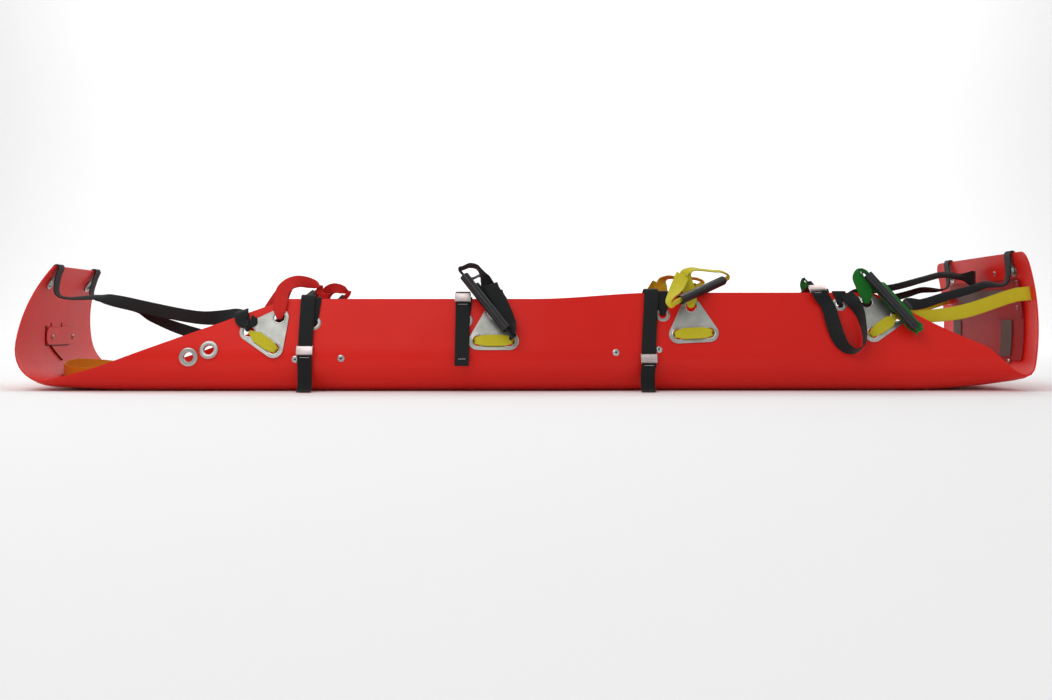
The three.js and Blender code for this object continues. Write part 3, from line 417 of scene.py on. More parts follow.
def circle(x, y, r, sides=40, start=0.0, stop=2 * math.pi):
    full = stop - start > 2 * math.pi - 1e-6
    turns = steps(start, stop, sides)
    if full:
        turns = turns[:-1]
    return [(x + r * math.cos(t), y + r * math.sin(t)) for t in turns]


# ---- webbing
class Station:
    """A place on a band: its centre, the way of its width, width, thickness."""

    def __init__(self, p, side, w=WEB, t=None):
        self.p = Vector(p)
        self.side = Vector(side)
        self.w = w
        self.t = t


def catmull(p0, p1, p2, p3, t):
    """A centripetal Catmull-Rom span and its slope at t."""
    d0, d1, d2 = ((b - a).length_squared ** 0.25 for a, b in ((p0, p1), (p1, p2), (p2, p3)))
    d1 = d1 if d1 > 1e-4 else 1.0
    d0 = d0 if d0 > 1e-4 else d1
    d2 = d2 if d2 > 1e-4 else d1
    m1 = ((p1 - p0) / d0 - (p2 - p0) / (d0 + d1) + (p2 - p1) / d1) * d1
    m2 = ((p2 - p1) / d1 - (p3 - p1) / (d1 + d2) + (p3 - p2) / d2) * d1
    c2 = (p2 - p1) * 3 - m1 * 2 - m2
    c3 = (p1 - p2) * 2 + m1 + m2
    return p1 + m1 * t + c2 * t * t + c3 * t * t * t, m1 + c2 * 2 * t + c3 * 3 * t * t


# the band's cross section: shares of half the width and half the thickness
FACE = (-0.95, -0.6, -0.2, 0.2, 0.6, 0.95)
RING = [(-1.0, -0.35)] + [(x, -1.0) for x in FACE] + [(1.0, -0.35)]
RING += [(-x, -y) for x, y in RING]
FOLD = 0.2          # how deep a gathered band folds, per millimetre it narrows


class Band:
    """Webbing through stations, open or closed."""

    def __init__(self, stations, closed=False, thick=WEB_T, fine=6, fold=FOLD):
        self.closed = closed
        self.fine = fine
        self.thick = thick
        self.fold = fold
        self.spans = len(stations) if closed else len(stations) - 1
        self.stations = stations
        for a, b in zip(stations, stations[1:]):
            if a.side.dot(b.side) < 0:
                b.side.negate()

    def at(self, u):
        """Centre, way along, way across, face, width and thickness at station u."""
        count = len(self.stations)
        k = min(int(u), self.spans - 1)
        mix = u - k
        if self.closed:
            a0, a, b, b1 = (self.stations[(k + i) % count] for i in (-1, 0, 1, 2))
            p0, p3 = a0.p, b1.p
        else:
            a, b = self.stations[k], self.stations[k + 1]
            p0 = self.stations[k - 1].p if k else a.p * 2 - b.p
            p3 = self.stations[k + 2].p if k + 2 < count else b.p * 2 - a.p
        centre, way = catmull(p0, a.p, b.p, p3, mix)
        way.normalize()
        next_side = b.side.copy()
        if a.side.normalized().dot(next_side) < 0:
            next_side.negate()
        ease = mix * mix * (3 - 2 * mix) * 0.5 + mix * 0.5
        side = a.side.normalized().lerp(next_side.normalized(), ease)
        side = (side - way * side.dot(way)).normalized()
        face = way.cross(side).normalized()
        thick = lerp(a.t or self.thick, b.t or self.thick, mix)
        return centre, way, side, face, lerp(a.w, b.w, ease), thick

    def shape(self):
        points = []
        lengths = []
        total = self.spans * self.fine
        rows = total if self.closed else total + 1
        last = None
        run = 0.0
        for i in range(rows):
            centre, _, side, face, w, t = self.at(i / self.fine)
            run += (centre - last).length if last else 0.0
            last = centre
            lengths.append(run)
            fold = self.fold * max(0.0, WEB - w) if t < self.thick + 0.5 else 0.0
            for x, y in RING:
                bend = fold * (x * x - 0.4)
                points.append(centre + side * x * w / 2 + face * (y * t / 2 + bend))
        ring = len(RING)
        faces = []
        uv = []
        for i in range(rows if self.closed else rows - 1):
            k = (i + 1) % rows
            turn = 0
            if self.closed and k == 0:
                end = points[i * ring + 3]
                half = ring // 2
                turn = half if (end - points[3 + half]).length < (end - points[3]).length else 0
            u0 = lengths[i]
            u1 = lengths[i] + 4 if k == 0 else lengths[k]
            for j in range(ring):
                m = (j + 1) % ring
                a, b = i * ring, k * ring
                faces.append([a + j, a + m, b + (m + turn) % ring, b + (j + turn) % ring])
                x0, x1 = (RING[q][0] * WEB / 2 for q in (j, m))
                uv.append([(u0, x0), (u0, x1), (u1, x1), (u1, x0)])
        if not self.closed:
            faces += caps(ring, rows)
            uv += [[(0.0, 0.0)] * ring] * 2
        return outward(Shape().add(points, faces, uv))


STITCH_PITCH = 4.0
STITCHED = 24.0         # how much of a band's width a row of stitches takes


def stitch_row(centre, way, face, count, length=3.0, thick=0.9, proud=0.35):
    """A row of short thread stitches along way, standing on face."""
    side = face.cross(way).normalized()
    shape = Shape()
    for k in range(count):
        at = centre + way * STITCH_PITCH * (k - (count - 1) / 2)
        shape.join(block(length, thick, proud, 0.25).moved(basis(way, side, face, at)))
    return shape


def stitched(band, u):
    """A row of stitches across a band at station u."""
    centre, _, side, face, w, t = band.at(u)
    count = max(2, int(min(STITCHED, w - 4) / STITCH_PITCH))
    return stitch_row(centre + face * t / 2, side, face, count)


def wall_run(places):
    """Stations from (x, height, out, width, way across) on the near wall."""
    return [Station(on_wall(x, z, out), wall_way(*side), w) for x, z, out, w, side in places]


def free_run(places):
    """Stations from (x, y, z, width, way across)."""
    return [Station((x, y, z), side, w) for x, y, z, w, side in places]


def sheet_run(places):
    """Stations from (s, v, out, width, way across) on the sheet."""
    return [Station(on_sheet(s, v, out), side, w) for s, v, out, w, side in places]


# ---- positions
PLATES = [(-522, 156, -35), (-68, 165, 0), (353, 180, 3), (729, 189, 35)]
STRAP_EYELETS = [(-449, 145), (-128, 151), (292, 163), (672, 186)]
FOOT_EYELETS = [(-708, 321), (-666, 336)]
CORNER_EYELETS = {"foot": (FOOT_END + 44, 102), "head": (HEAD_END - 40, 168)}
SLOT_S = HEAD_END - 92
SLOT_V = 222
SLOT_LONG = 36
SLOT_WIDE = 9
BOARD_FROM = HEAD_END - HEAD_ARCS[3][0] + 8
BOARD_TO = HEAD_END - 58
BOARD_HALF = 188
PLATE_HOLES = [(0.0, 0.0), (-PLATE_BASE / 2, -PLATE_HEIGHT), (PLATE_BASE / 2, -PLATE_HEIGHT)]


def plate_matrix(plate, out=0.0):
    x, z, turn = plate
    return wall_matrix(on_wall(x, z, out), math.radians(turn))


def plate_hole(plate, k, out=0.0, dx=0.0, dy=0.0):
    x, y = PLATE_HOLES[k]
    return plate_matrix(plate) @ Vector((x + dx, y + dy, out))


def plate_way(plate, x, y):
    return plate_matrix(plate).to_3x3() @ Vector((x, y, 0))

def plate_run(plate, k, places):
    """Stations from (x, y, out, width, way across) by hole k of a plate."""
    return [Station(plate_hole(plate, k, out, x, y), plate_way(plate, *way), w)
            for x, y, out, w, way in places]


# ---- materials
def linear(rgb):
    """A colour of 0-255 values, as the linear value Blender shades with."""
    shares = [c / 255 for c in rgb]
    return tuple(c / 12.92 if c <= 0.04045 else ((c + 0.055) / 1.055) ** 2.4 for c in shares) + (1.0,)


class Graph:
    """A material with helpers that add and join its nodes."""

    def __init__(self, name, color, roughness, metallic=0.0, specular=0.5):
        self.material = bpy.data.materials.new(name)
        self.material.use_nodes = True
        self.tree = self.material.node_tree
        self.shader = self.tree.nodes["Principled BSDF"]
        self.set("Base Color", color)
        self.set("Roughness", roughness)
        self.set("Metallic", metallic)
        self.set("Specular IOR Level", specular)

    def set(self, name, value):
        self.shader.inputs[name].default_value = value

    def node(self, kind, **inputs):
        made = self.tree.nodes.new(kind)
        for name, value in inputs.items():
            self.feed(made.inputs[name.replace("_", " ")], value)
        return made

    def feed(self, socket, value):
        if isinstance(value, bpy.types.NodeSocket):
            self.tree.links.new(value, socket)
        else:
            socket.default_value = value

    def drive(self, name, value):
        self.feed(self.shader.inputs[name], value)

    def place(self, kind="Object", scale=(1, 1, 1)):
        made = self.tree.nodes.new("ShaderNodeTexCoord")
        mapping = self.node("ShaderNodeMapping", Vector=made.outputs[kind], Scale=scale)
        return mapping.outputs[0]

    def noise(self, vector, scale, detail=3.0, roughness=0.5):
        return self.node("ShaderNodeTexNoise", Vector=vector, Scale=scale, Detail=detail,
                         Roughness=roughness).outputs["Fac"]

    def ramp(self, factor, low, high, a, b):
        """a below low, b above high, and a blend between, for numbers."""
        made = self.node("ShaderNodeMapRange", Value=factor)
        for name, value in (("From Min", low), ("From Max", high), ("To Min", a), ("To Max", b)):
            made.inputs[name].default_value = value
        return made.outputs[0]

    def mix(self, factor, a, b):
        made = self.tree.nodes.new("ShaderNodeMix")
        made.data_type = "RGBA"
        self.feed(made.inputs[0], factor)
        self.feed(made.inputs[6], a)
        self.feed(made.inputs[7], b)
        return made.outputs[2]

    def math(self, operation, a, b):
        made = self.tree.nodes.new("ShaderNodeMath")
        made.operation = operation
        self.feed(made.inputs[0], a)
        self.feed(made.inputs[1], b)
        return made.outputs[0]

    def bump(self, height, strength, distance):
        made = self.node("ShaderNodeBump", Height=height, Strength=strength, Distance=distance)
        before = self.shader.inputs["Normal"].links
        if before:
            self.tree.links.new(before[0].from_socket, made.inputs["Normal"])
        self.drive("Normal", made.outputs[0])


def plastic_sheet(name, bright, dull, roughness, specular):
    bright = linear(bright)
    g = Graph(name, bright, roughness, 0.0, specular)
    where = g.place()
    g.drive("Base Color", g.mix(g.ramp(g.noise(where, 2.2), 0.35, 0.7, 0, 1), bright, linear(dull)))
    scuffs = g.noise(g.place("Object", (6, 90, 90)), 3.0, 6.0, 0.6)
    g.drive("Roughness", g.ramp(scuffs, 0.35, 0.7, roughness - 0.06, roughness + 0.1))
    g.bump(g.noise(where, 3.5, 2.0), 0.5, 0.012)
    g.bump(g.noise(where, 900.0, 2.0), 0.06, 0.0004)
    return g.material


RIB_PITCH = 2.4         # millimetres between the threads across a band
WARP_PITCH = 1.7        # millimetres between the threads along it
SELVAGE = (12.6, 13.4)  # where the tight edge starts, from the band's middle


def woven(name, color, dark):
    """Webbing: a twill of threads in the band's flat map, with tight edges."""
    color = linear(color)
    dark = linear(dark)
    g = Graph(name, color, 0.75, 0.0, 0.25)
    flat = g.place("UV")
    parts = g.node("ShaderNodeSeparateXYZ", Vector=flat)
    along, across = parts.outputs[0], parts.outputs[1]
    rib = g.math("SINE", g.math("MULTIPLY", along, 2 * math.pi / RIB_PITCH), 0.0)
    warp = g.math("SINE", g.math("ADD", g.math("MULTIPLY", across, 2 * math.pi / WARP_PITCH),
                                 g.math("MULTIPLY", rib, 1.1)), 0.0)
    weave = g.math("ADD", g.math("MULTIPLY", rib, 0.25), g.math("MULTIPLY", warp, 0.25))
    height = g.math("ADD", weave, 0.5)
    edge = g.ramp(g.math("ABSOLUTE", across, 0.0), *SELVAGE, 0, 1)
    worn = g.ramp(g.noise(g.place(), 14.0, 4.0), 0.35, 0.75, 0, 0.6)
    tone = g.mix(g.ramp(height, 0.1, 0.8, 0, 1), dark, color)
    tone = g.mix(g.math("MULTIPLY", edge, 0.35), tone, dark)
    g.drive("Base Color", g.mix(worn, tone, g.mix(0.5, tone, dark)))
    g.bump(height, 0.5, 0.0006)
    g.set("Sheen Weight", 0.12)
    return g.material


def brushed(name, color, roughness, way=(4, 4, 160)):
    color = linear(color)
    g = Graph(name, color, roughness, 1.0)
    grain = g.noise(g.place("Object", way), 9.0, 5.0, 0.65)
    cloud = g.noise(g.place(), 26.0, 3.0)
    g.drive("Roughness", g.ramp(grain, 0.3, 0.7, roughness - 0.08, roughness + 0.14))
    darker = tuple(c * 0.62 for c in color[:3]) + (1.0,)
    g.drive("Base Color", g.mix(g.ramp(cloud, 0.38, 0.68, 0, 0.8), color, darker))
    g.bump(grain, 0.12, 0.0003)
    return g.material


def tube_plastic(name, color, glint):
    color = linear(color)
    g = Graph(name, color, 0.33)
    where = g.place()
    g.drive("Base Color", g.mix(g.ramp(g.noise(where, 40.0, 4.0), 0.35, 0.7, 0, 1), color, linear(glint)))
    g.drive("Roughness", g.ramp(g.noise(where, 70.0, 5.0), 0.3, 0.7, 0.26, 0.44))
    g.bump(g.noise(where, 380.0, 3.0), 0.12, 0.0003)
    return g.material


def fuzzy(name, color, dark):
    color = linear(color)
    g = Graph(name, color, 0.95, 0.0, 0.1)
    pile = g.noise(g.place(), 420.0, 4.0, 0.7)
    g.drive("Base Color", g.mix(g.ramp(pile, 0.3, 0.7, 0, 1), linear(dark), color))
    g.bump(pile, 0.7, 0.0012)
    g.set("Sheen Weight", 0.3)
    return g.material


SHEET_RED = plastic_sheet("sheet_red", (226, 36, 26), (214, 30, 22), 0.36, 0.2)
BOARD_RED = plastic_sheet("board_red", (158, 30, 34), (144, 24, 28), 0.46, 0.18)
# dark red for the foot slits and for the painted shadow lines at the foot patch
SLIT_AND_SHADOW_RED = plastic_sheet("slit_and_shadow_red", (120, 8, 8), (96, 4, 4), 0.55, 0.2)
STEEL = brushed("plate_steel", (196, 196, 190), 0.36)
RIM_STEEL = brushed("rim_steel", (206, 206, 200), 0.26)
EYELET_STEEL = brushed("eyelet_steel", (190, 188, 184), 0.34)
RIVET_STEEL = brushed("rivet_steel", (200, 198, 196), 0.28)
CORE_STEEL = brushed("rivet_core", (84, 78, 76), 0.45)
BUCKLE_STEEL = brushed("buckle_steel", (222, 208, 206), 0.42, (60, 60, 60))
BLACK_WEB = woven("web_black", (26, 29, 31), (10, 12, 13))
RED_WEB = woven("web_red", (236, 40, 32), (170, 16, 12))
YELLOW_WEB = woven("web_yellow", (226, 216, 44), (176, 158, 20))
GREEN_WEB = woven("web_green", (22, 132, 38), (6, 80, 16))
ORANGE_WEB = woven("web_orange", (238, 168, 30), (196, 118, 16))
GRIP = tube_plastic("grip_plastic", (12, 15, 18), (20, 27, 34))
SEAM = tube_plastic("grip_seam", (74, 60, 50), (58, 50, 46))
BUNDLE = woven("web_bundle", (24, 26, 28), (8, 9, 10))
PALE_THREAD = woven("thread_pale", (226, 220, 214), (180, 172, 168))
GREY_THREAD = woven("thread_grey", (120, 128, 110), (84, 92, 80))
LOOP_PILE = fuzzy("loop_pile", (92, 84, 76), (58, 53, 48))
WEB_MATERIALS = {"black": BLACK_WEB, "red": RED_WEB, "yellow": YELLOW_WEB, "green": GREEN_WEB}


# ---- sheet
PLATE_DRILL = PLATE_HOLE_R + 1.2
EYELET_DRILL = 10.6
FOOT_DRILL = 12.6
DRILL_REACH = 20        # how far a cutter reaches each way from the sheet


def sheet_shape():
    quarter = math.pi / 2
    stations = steps(FOOT_END, HEAD_END - HEAD_CORNER, 190)
    stations += [HEAD_END - HEAD_CORNER * (1 - math.sin(t)) for t in steps(0, quarter, 10)[1:]]
    shares = [math.sin(t) * 0.25 + t / quarter * 0.75 for t in steps(-quarter, quarter, 84)]
    layers = []
    for out in (0.0, -SHEET):
        for s in stations:
            half = half_width(s)
            layers += [on_sheet(s, half * share, out) for share in shares]
    return skins(len(stations), len(shares), layers)


def drill(matrix, radius, sides=36):
    """A closed cylinder through the sheet."""
    points = [(x, y, z) for z in (-DRILL_REACH, DRILL_REACH) for x, y in circle(0, 0, radius, sides)]
    faces = grid_faces(2, sides, False, True) + caps(sides, 2)
    return outward(Shape().add(points, faces)).moved(matrix)


def hole_cutters():
    """Every hole of the near side."""
    drills = [(wall_matrix(plate_hole(plate, k)), PLATE_DRILL) for plate in PLATES for k in range(3)]
    drills += [(wall_matrix(on_wall(x, z)), EYELET_DRILL) for x, z in STRAP_EYELETS]
    drills += [(sheet_matrix(s, -v), FOOT_DRILL) for s, v in FOOT_EYELETS]
    drills += [(sheet_matrix(s, -v), EYELET_DRILL) for s, v in CORNER_EYELETS.values()]
    near = Shape()
    for matrix, radius in drills:
        near.join(drill(matrix, radius))
    slot = block(SLOT_LONG, SLOT_WIDE, 2 * DRILL_REACH, 2.0)
    return near.join(slot.moved(sheet_matrix(SLOT_S, -SLOT_V, -DRILL_REACH)))


def cut(target, cutters):
    """Takes the cutters out of the target and keeps the result as its mesh."""
    for cutter in cutters:
        tool = bpy.data.objects.new("cutter", make_mesh("cutter", cutter))
        bpy.context.scene.collection.objects.link(tool)
        modifier = target.modifiers.new("holes", "BOOLEAN")
        modifier.operation = "DIFFERENCE"
        modifier.solver = "MANIFOLD"
        modifier.object = tool
        bpy.context.view_layer.update()
        graph = bpy.context.evaluated_depsgraph_get()
        made = bpy.data.meshes.new_from_object(target.evaluated_get(graph))
        target.modifiers.clear()
        target.data = made
        bpy.data.objects.remove(tool)
    target.data.set_sharp_from_angle(angle=SHARP)


sheet = piece("sheet_look", sheet_shape(), SHEET_RED, replaces=("sheet",))
holes = hole_cutters()
cut(sheet, (holes, holes.mirrored()))


# ---- head board
def slab(stations, halves, out, thick):
    """A thin slab lying on the sheet's inside over stations, halves wide."""
    columns = 25
    points = []
    for level in (out, out - thick):
        for s, (low, high) in zip(stations, halves):
            points += [on_sheet(s, v, level) for v in steps(low, high, columns - 1)]
    return skins(len(stations), columns, points)


def strip(start, stop, count, low, high, out, thick):
    """A slab of even width in count steps along the sheet."""
    return slab(steps(start, stop, count), [(low, high)] * (count + 1), out, thick)


def rounded_halves(stations, low, high, radius):
    """A slab's edges with its four corners rounded."""
    made = []
    for s in stations:
        short = max(0.0, radius - min(s - stations[0], stations[-1] - s))
        inset = radius - math.sqrt(max(0.0, radius ** 2 - short ** 2))
        made.append((low + inset, high - inset))
    return made


def rounded_slab(start, stop, low, high, radius, out, thick, count=24):
    ends = [radius * (1 - math.cos(t)) for t in steps(0, math.pi / 2, 5)]
    stations = [start + e for e in ends] + steps(start + radius, stop - radius, count)[1:-1]
    stations += [stop - e for e in ends[::-1]]
    return slab(stations, rounded_halves(stations, low, high, radius), out, thick)


INSIDE = -SHEET - 0.4
ON_BOARD = INSIDE - SHEET - 0.1
BAND_EDGE = HEAD_END - 146      # foot of the thicker upper band of the board
board = rounded_slab(BOARD_FROM, BOARD_TO, -BOARD_HALF, BOARD_HALF, 10, INSIDE, SHEET)
piece("head_board_look", board, BOARD_RED, replaces=("head_board",))
BAND_HALF = BOARD_HALF - 1
upper = rounded_slab(BAND_EDGE, BOARD_TO - 1, -BAND_HALF, BAND_HALF, 8, INSIDE - SHEET - 0.2, 1.6, 10)
piece("head_board_band", upper, BOARD_RED)

pile = Shape()
for low, high in ((-136, -82), (140, 186)):
    pile.join(strip(HEAD_END - 232, HEAD_END - 150, 8, low, high, ON_BOARD, 2.0))
taper = steps(0, 1, 6)
pile.join(slab([HEAD_END - 106 + 26 * t for t in taper],
               [(lerp(-84, -120, t), lerp(134, 156, t)) for t in taper], ON_BOARD - 1.8, 2.0))
piece("hook_strips", pile, LOOP_PILE)


# ---- plates and eyelets
def plate_outline():
    half = PLATE_BASE / 2
    slant = math.atan2(PLATE_HEIGHT, half)
    down = 1.5 * math.pi
    r = PLATE_CORNER
    return (circle(-half, -PLATE_HEIGHT, r, 18, math.pi / 2 + slant, down)
            + circle(half, -PLATE_HEIGHT, r, 18, down, down + math.pi - slant)
            + circle(0, 0, r, 18, math.pi / 2 - slant, math.pi / 2 + slant))


def obround(half, radius, height, minor, flat):
    """A raised rim around two holes that stand apart on x."""
    right = circle(half, 0, radius, 16, -math.pi / 2, math.pi / 2)
    left = circle(-half, 0, radius, 16, math.pi / 2, 1.5 * math.pi)
    return outward(tube([Vector((x, y, height)) for x, y in right + left], minor, 8, True, flat))


def plate_shapes():
    r, t = PLATE_HOLE_R, PLATE_T
    body = bolster(plate_outline(), [circle(x, y, r, 40) for x, y in PLATE_HOLES], t, 0.5)
    ring = [(r - 0.6, -0.6), (r - 1.1, t * 0.6), (r - 0.4, t + 0.9), (r + 0.7, t + 1.2), (r + 1.9, t + 0.7),
            (r + 2.4, t - 0.2), (r + 0.2, t - 0.4)]
    rims = Shape()
    for x, y in PLATE_HOLES:
        rims.join(outward(lathe(ring, 44)).moved(Matrix.Translation((x, y, 0))))
    lower = obround(PLATE_BASE / 2, r + 4.4, t, 1.0, 0.7)
    return body, rims.join(lower.moved(Matrix.Translation((0, -PLATE_HEIGHT, 0))))


plate_body, plate_rims = plate_shapes()
for number, plate in enumerate(PLATES, 1):
    place = plate_matrix(plate, PLATE_GAP)
    pair(f"plate_{number}", plate_body.moved(place), STEEL)
    pair(f"plate_{number}_rims", plate_rims.moved(place), RIM_STEEL, replaces=False)


def eyelet(hole, flange, gap):
    """A rolled eyelet about z: a barrel with a domed flange on each face."""
    back = -SHEET - gap
    outline = [
        (hole, back - 0.4), (hole + 0.7, back - 1.0), (flange - 2.2, back - 0.9), (flange - 1.5, back - 0.3),
        (flange - 1.8, back), (hole + 1.2, back), (hole + 1.2, gap), (flange - 0.4, gap),
        (flange, gap + 0.25), (flange - 0.7, gap + 0.85), (flange - 2.6, gap + 1.25),
        (hole + 1.6, gap + 1.3), (hole + 0.5, gap + 1.0), (hole, gap + 0.3),
    ]
    return outward(lathe(outline, 44))


EYELET = (8.5, 15.5)            # radii of hole and flange
BIG_EYELET = (10.5, 19.5)
for number, (x, z) in enumerate(STRAP_EYELETS, 1):
    made = eyelet(*EYELET, 0.2).moved(wall_matrix(on_wall(x, z)))
    pair(f"strap_eyelet_{number}", made, EYELET_STEEL)
for end, (s, v) in CORNER_EYELETS.items():
    made = eyelet(*EYELET, 1.0).moved(sheet_matrix(s, -v))
    pair(f"{end}_corner_eyelet", made, EYELET_STEEL)
made = Shape()
for s, v in FOOT_EYELETS:
    made.join(eyelet(*BIG_EYELET, 1.4).moved(sheet_matrix(s, -v)))
pair("foot_eyelets", made, EYELET_STEEL)


# ---- rivets
RIVET_R = 7.4
SMALL_RIVET_R = 6.0
RIVET_HEIGHT = 2.2


def rivet(radius, height=RIVET_HEIGHT):
    """A rivet's rolled head and the core seen in its middle."""
    outline = [(0.01, 0.05), (radius, 0.05), (radius, 0.6), (radius - 0.9, 1.3), (radius - 2.6, height),
               (radius * 0.5, height + 0.2), (radius * 0.38, height - 0.2), (0.01, height - 0.5)]
    core = outward(dome(radius * 0.34, 0.9, 16, 4)).moved(Matrix.Translation((0, 0, height - 0.5)))
    return outward(lathe(outline, 28, False)), core


FLIP = Matrix.Rotation(math.pi, 4, "X")
rivets = []
for x, z in ((-484, 69), (-388, 71), (190, 83), (281, 89)):
    v = side_place(x, z)
    rivets += [(sheet_matrix(x, side, 0.1), RIVET_R) for side in (v, -v)]
for s, v in ((-48, 72), (-42, -73)):
    rivets.append((sheet_matrix(HEAD_END + s, v, -SHEET) @ FLIP, SMALL_RIVET_R))
for s, v in ((-66, -180), (-122, -166), (-244, -129), (-80, 180), (-122, 166), (-244, 129)):
    rivets.append((sheet_matrix(HEAD_END + s, v, ON_BOARD - 0.4) @ FLIP, SMALL_RIVET_R))
for v in (-30, 78):
    rivets.append((sheet_matrix(-1172, v, -SHEET - 3.2) @ FLIP, SMALL_RIVET_R))
heads = Shape()
cores = Shape()
for place, radius in rivets:
    head, core = rivet(radius)
    heads.join(head.moved(place))
    cores.join(core.moved(place))
piece("rivet_heads", heads, RIVET_STEEL)
piece("rivet_cores", cores, CORE_STEEL)


# ---- foot patch and drag loop
patch = rounded_slab(-1196, -1154, -60, 106, 14, -SHEET - 0.3, 2.8, 8)
piece("foot_patch", patch, SHEET_RED)
# Dark-red strips: the first three run along the patch's edges and are painted shadow along its rim; the two
# short ones beyond the patch are slits.
slits_and_shadows = strip(-1199, -1192, 4, -66, -58, -SHEET, 1.0)
slits_and_shadows.join(strip(-1196, -1152, 8, -63, -59, -SHEET - 0.1, 1.4))
slits_and_shadows.join(strip(-1155, -1151, 4, -58, 58, -SHEET - 0.1, 1.2))
for v in (-37, 18):
    slits_and_shadows.join(strip(-1206, -1189, 4, v - 2, v + 2, -SHEET - 0.1, 0.7))
# A thin dark-red tube from the patch's lower edge towards the drag loop: painted shadow, standing for the
# dark shadow line along a strap edge.
SHADOW_LINE_PATH = ((-1153, -40), (-1145, -33), (-1135, -22), (-1124, -12), (-1114, -4))
shadow_line = outward(tube([on_sheet(s, v, -SHEET - 2) for s, v in SHADOW_LINE_PATH], 1.8, 8, False))
piece("foot_slits_and_shadows", slits_and_shadows, SLIT_AND_SHADOW_RED)
piece("foot_shadow_line", shadow_line, SLIT_AND_SHADOW_RED)

drag_loop = Band(free_run((
    (-1064, -50, 43, 28, (0.1, 0, 1)), (-1052, -12, 48, 28, (0.1, 0.2, 1)), (-1012, 14, 46, 28, (0, 0.3, 1)),
    (-950, 16, 40, 28, (0, 0.3, 1)), (-886, -6, 44, 26, (0, 0.1, 1)), (-862, -34, 46, 26, (0.1, 0, 1)),
    (-886, -62, 40, 28, (0, 0, 1)), (-950, -84, 30, 28, (0, -0.1, 1)), (-1010, -92, 32, 28, (0, -0.2, 1)),
    (-1050, -80, 36, 28, (0.1, -0.2, 1)),
)), closed=True)
piece("foot_drag_loop", drag_loop.shape(), ORANGE_WEB)


# ---- handles
INNER = -5.4
OUTER = 4.7
HOLE_TURN_IN = ((15, INNER, 26), (4, -4.2, 16), (-1, -0.2, 14), (4, 3.7, 16), (15, OUTER, 26))
TUBE_STOPS = (-0.06, 0.03, 0.97, 1.06)
# places on the near wall: x, height, distance out, width, way across
HANDLES = [
    {
        "colour": "red", "grip": ((-458, 211, -45), (-570, 115, -45)), "grip_side": (-0.65, 0.76),
        "first": (
            (-521, 187, 5, 30, (1, 0)), (-521, 203, 3, 30, (0.95, -0.3)),
            (-517, 217, 2, 30, (0.85, -0.5)), (-506, 229, -2, 28, (0.5, -0.85)),
            (-490, 235, -12, 26, (0, -1)), (-472, 233, -26, 24, (-0.3, -0.95)),
            (-450, 226, -42, 16, (-0.7, 0.5, 0.3)),
        ),
        "second": (
            (-582, 106, -42, 16, (-0.65, 0.76)), (-584, 122, -32, 22, (0.9, -0.3)),
            (-558, 155, -20, 28, (0.86, -0.51)), (-545, 176, -16, 30, (0.86, -0.51)),
            (-530, 201, -15, 30, (0.86, -0.51)), (-520, 215, -14, 30, (0.9, -0.4)),
            (-515, 222, -11, 30, (1, -0.2)), (-517, 212, -8, 28, (1, 0)), (-520, 196, -7, 26, (1, 0)),
        ),
    },
    {
        "colour": "black", "grip": ((-136, 251.5, 27), (-36, 126, 27)), "grip_side": (0, 0, 1),
        "reverse": True,
        "first": (
            (-68, 200, 5, 30, (1, 0.1)), (-72, 216, 5.5, 30, (1, 0.3)), (-75, 228, 8, 30, (1, 0.35)),
            (-71, 217, 11, 30, (1, 0.35)), (-58, 196, 12, 30, (1, 0.4)), (-44, 167, 12, 30, (1, 0.35)),
            (-36, 146, 12, 30, (1, 0.25)), (-29, 128, 18, 25, (0.7, 0.2, 0.7)),
            (-27, 116, 22, 20, (0.2, 0.2, 1)),
        ),
        "second": (
            (-134, 263, 24, 22, (0, 0, 1)), (-119, 268, 18, 26, (0, 0, 1)), (-104, 264, 11, 28, (0, 0, 1)),
            (-94, 252, 5, 30, (0.25, 0, 1)), (-86, 237, 0, 30, (0.8, 0, 0.6)), (-80, 220, -6, 30, (1, 0)),
            (-73, 203, -8, 28, (1, 0)),
        ),
    },
    {
        "colour": "yellow", "grip": ((320, 192, 54), (432, 239, -26)), "grip_side": (-0.2, 0.5, 0.8),
        "first": (
            (352, 203, 5, 28, (1, 0)), (348, 222, 5.5, 28, (1, -0.15)), (341, 240, 7, 28, (1, -0.3)),
            (337, 249, 11, 28, (1, -0.3)), (332, 240, 16, 30, (1, -0.3)),
            (323, 224, 26, 30, (1, -0.2, 0.1)), (312, 208, 39, 28, (0.95, 0.1, 0.3)),
            (302, 194, 51, 24, (0.7, 0.1, 0.7)), (304, 184, 59, 18, (0.1, 0.3, 0.9)),
        ),
        "second": (
            (444, 248, -34, 18, (-0.3, -0.3, 0.9)), (430, 256, -26, 20, (0, -0.5, 0.85)),
            (405, 258, -17, 24, (0, -0.5, 0.85)), (382, 260, -10, 24, (0, -0.5, 0.85)),
            (358, 261, -5, 24, (0.2, -0.6, 0.75)), (346, 252, -5, 26, (0.8, -0.4, 0.3)),
            (345, 238, -7, 28, (1, 0)), (350, 215, -8, 26, (1, 0)),
        ),
    },
    {
        "colour": "green", "grip": ((728, 248, 29), (817, 136, 29)), "grip_side": (0, 0, 1),
        "first": (
            (729, 206, 5, 28, (1, 0)), (725, 217, 7, 30, (1, -0.1)), (719, 230, 10, 28, (1, -0.2, 0.1)),
            (712, 243, 14, 24, (0.95, -0.2, 0.3)), (714, 256, 23, 18, (0.6, 0.1, 0.8)),
        ),
        "second": (
            (826, 128, 24, 20, (0.2, 0.2, 1)), (828, 136, 14, 24, (0.6, 0.5, 0.5)),
            (818, 142, 12, 28, (0.7, 0.6)), (806, 162, 12, 30, (0.75, 0.6)),
            (783, 190, 11, 30, (0.8, 0.6)), (768, 210, 8, 30, (0.85, 0.5)),
            (757, 227, 0, 30, (0.97, 0.25)), (746, 222, -9.5, 28, (1, 0.1)),
        ),
    },
]


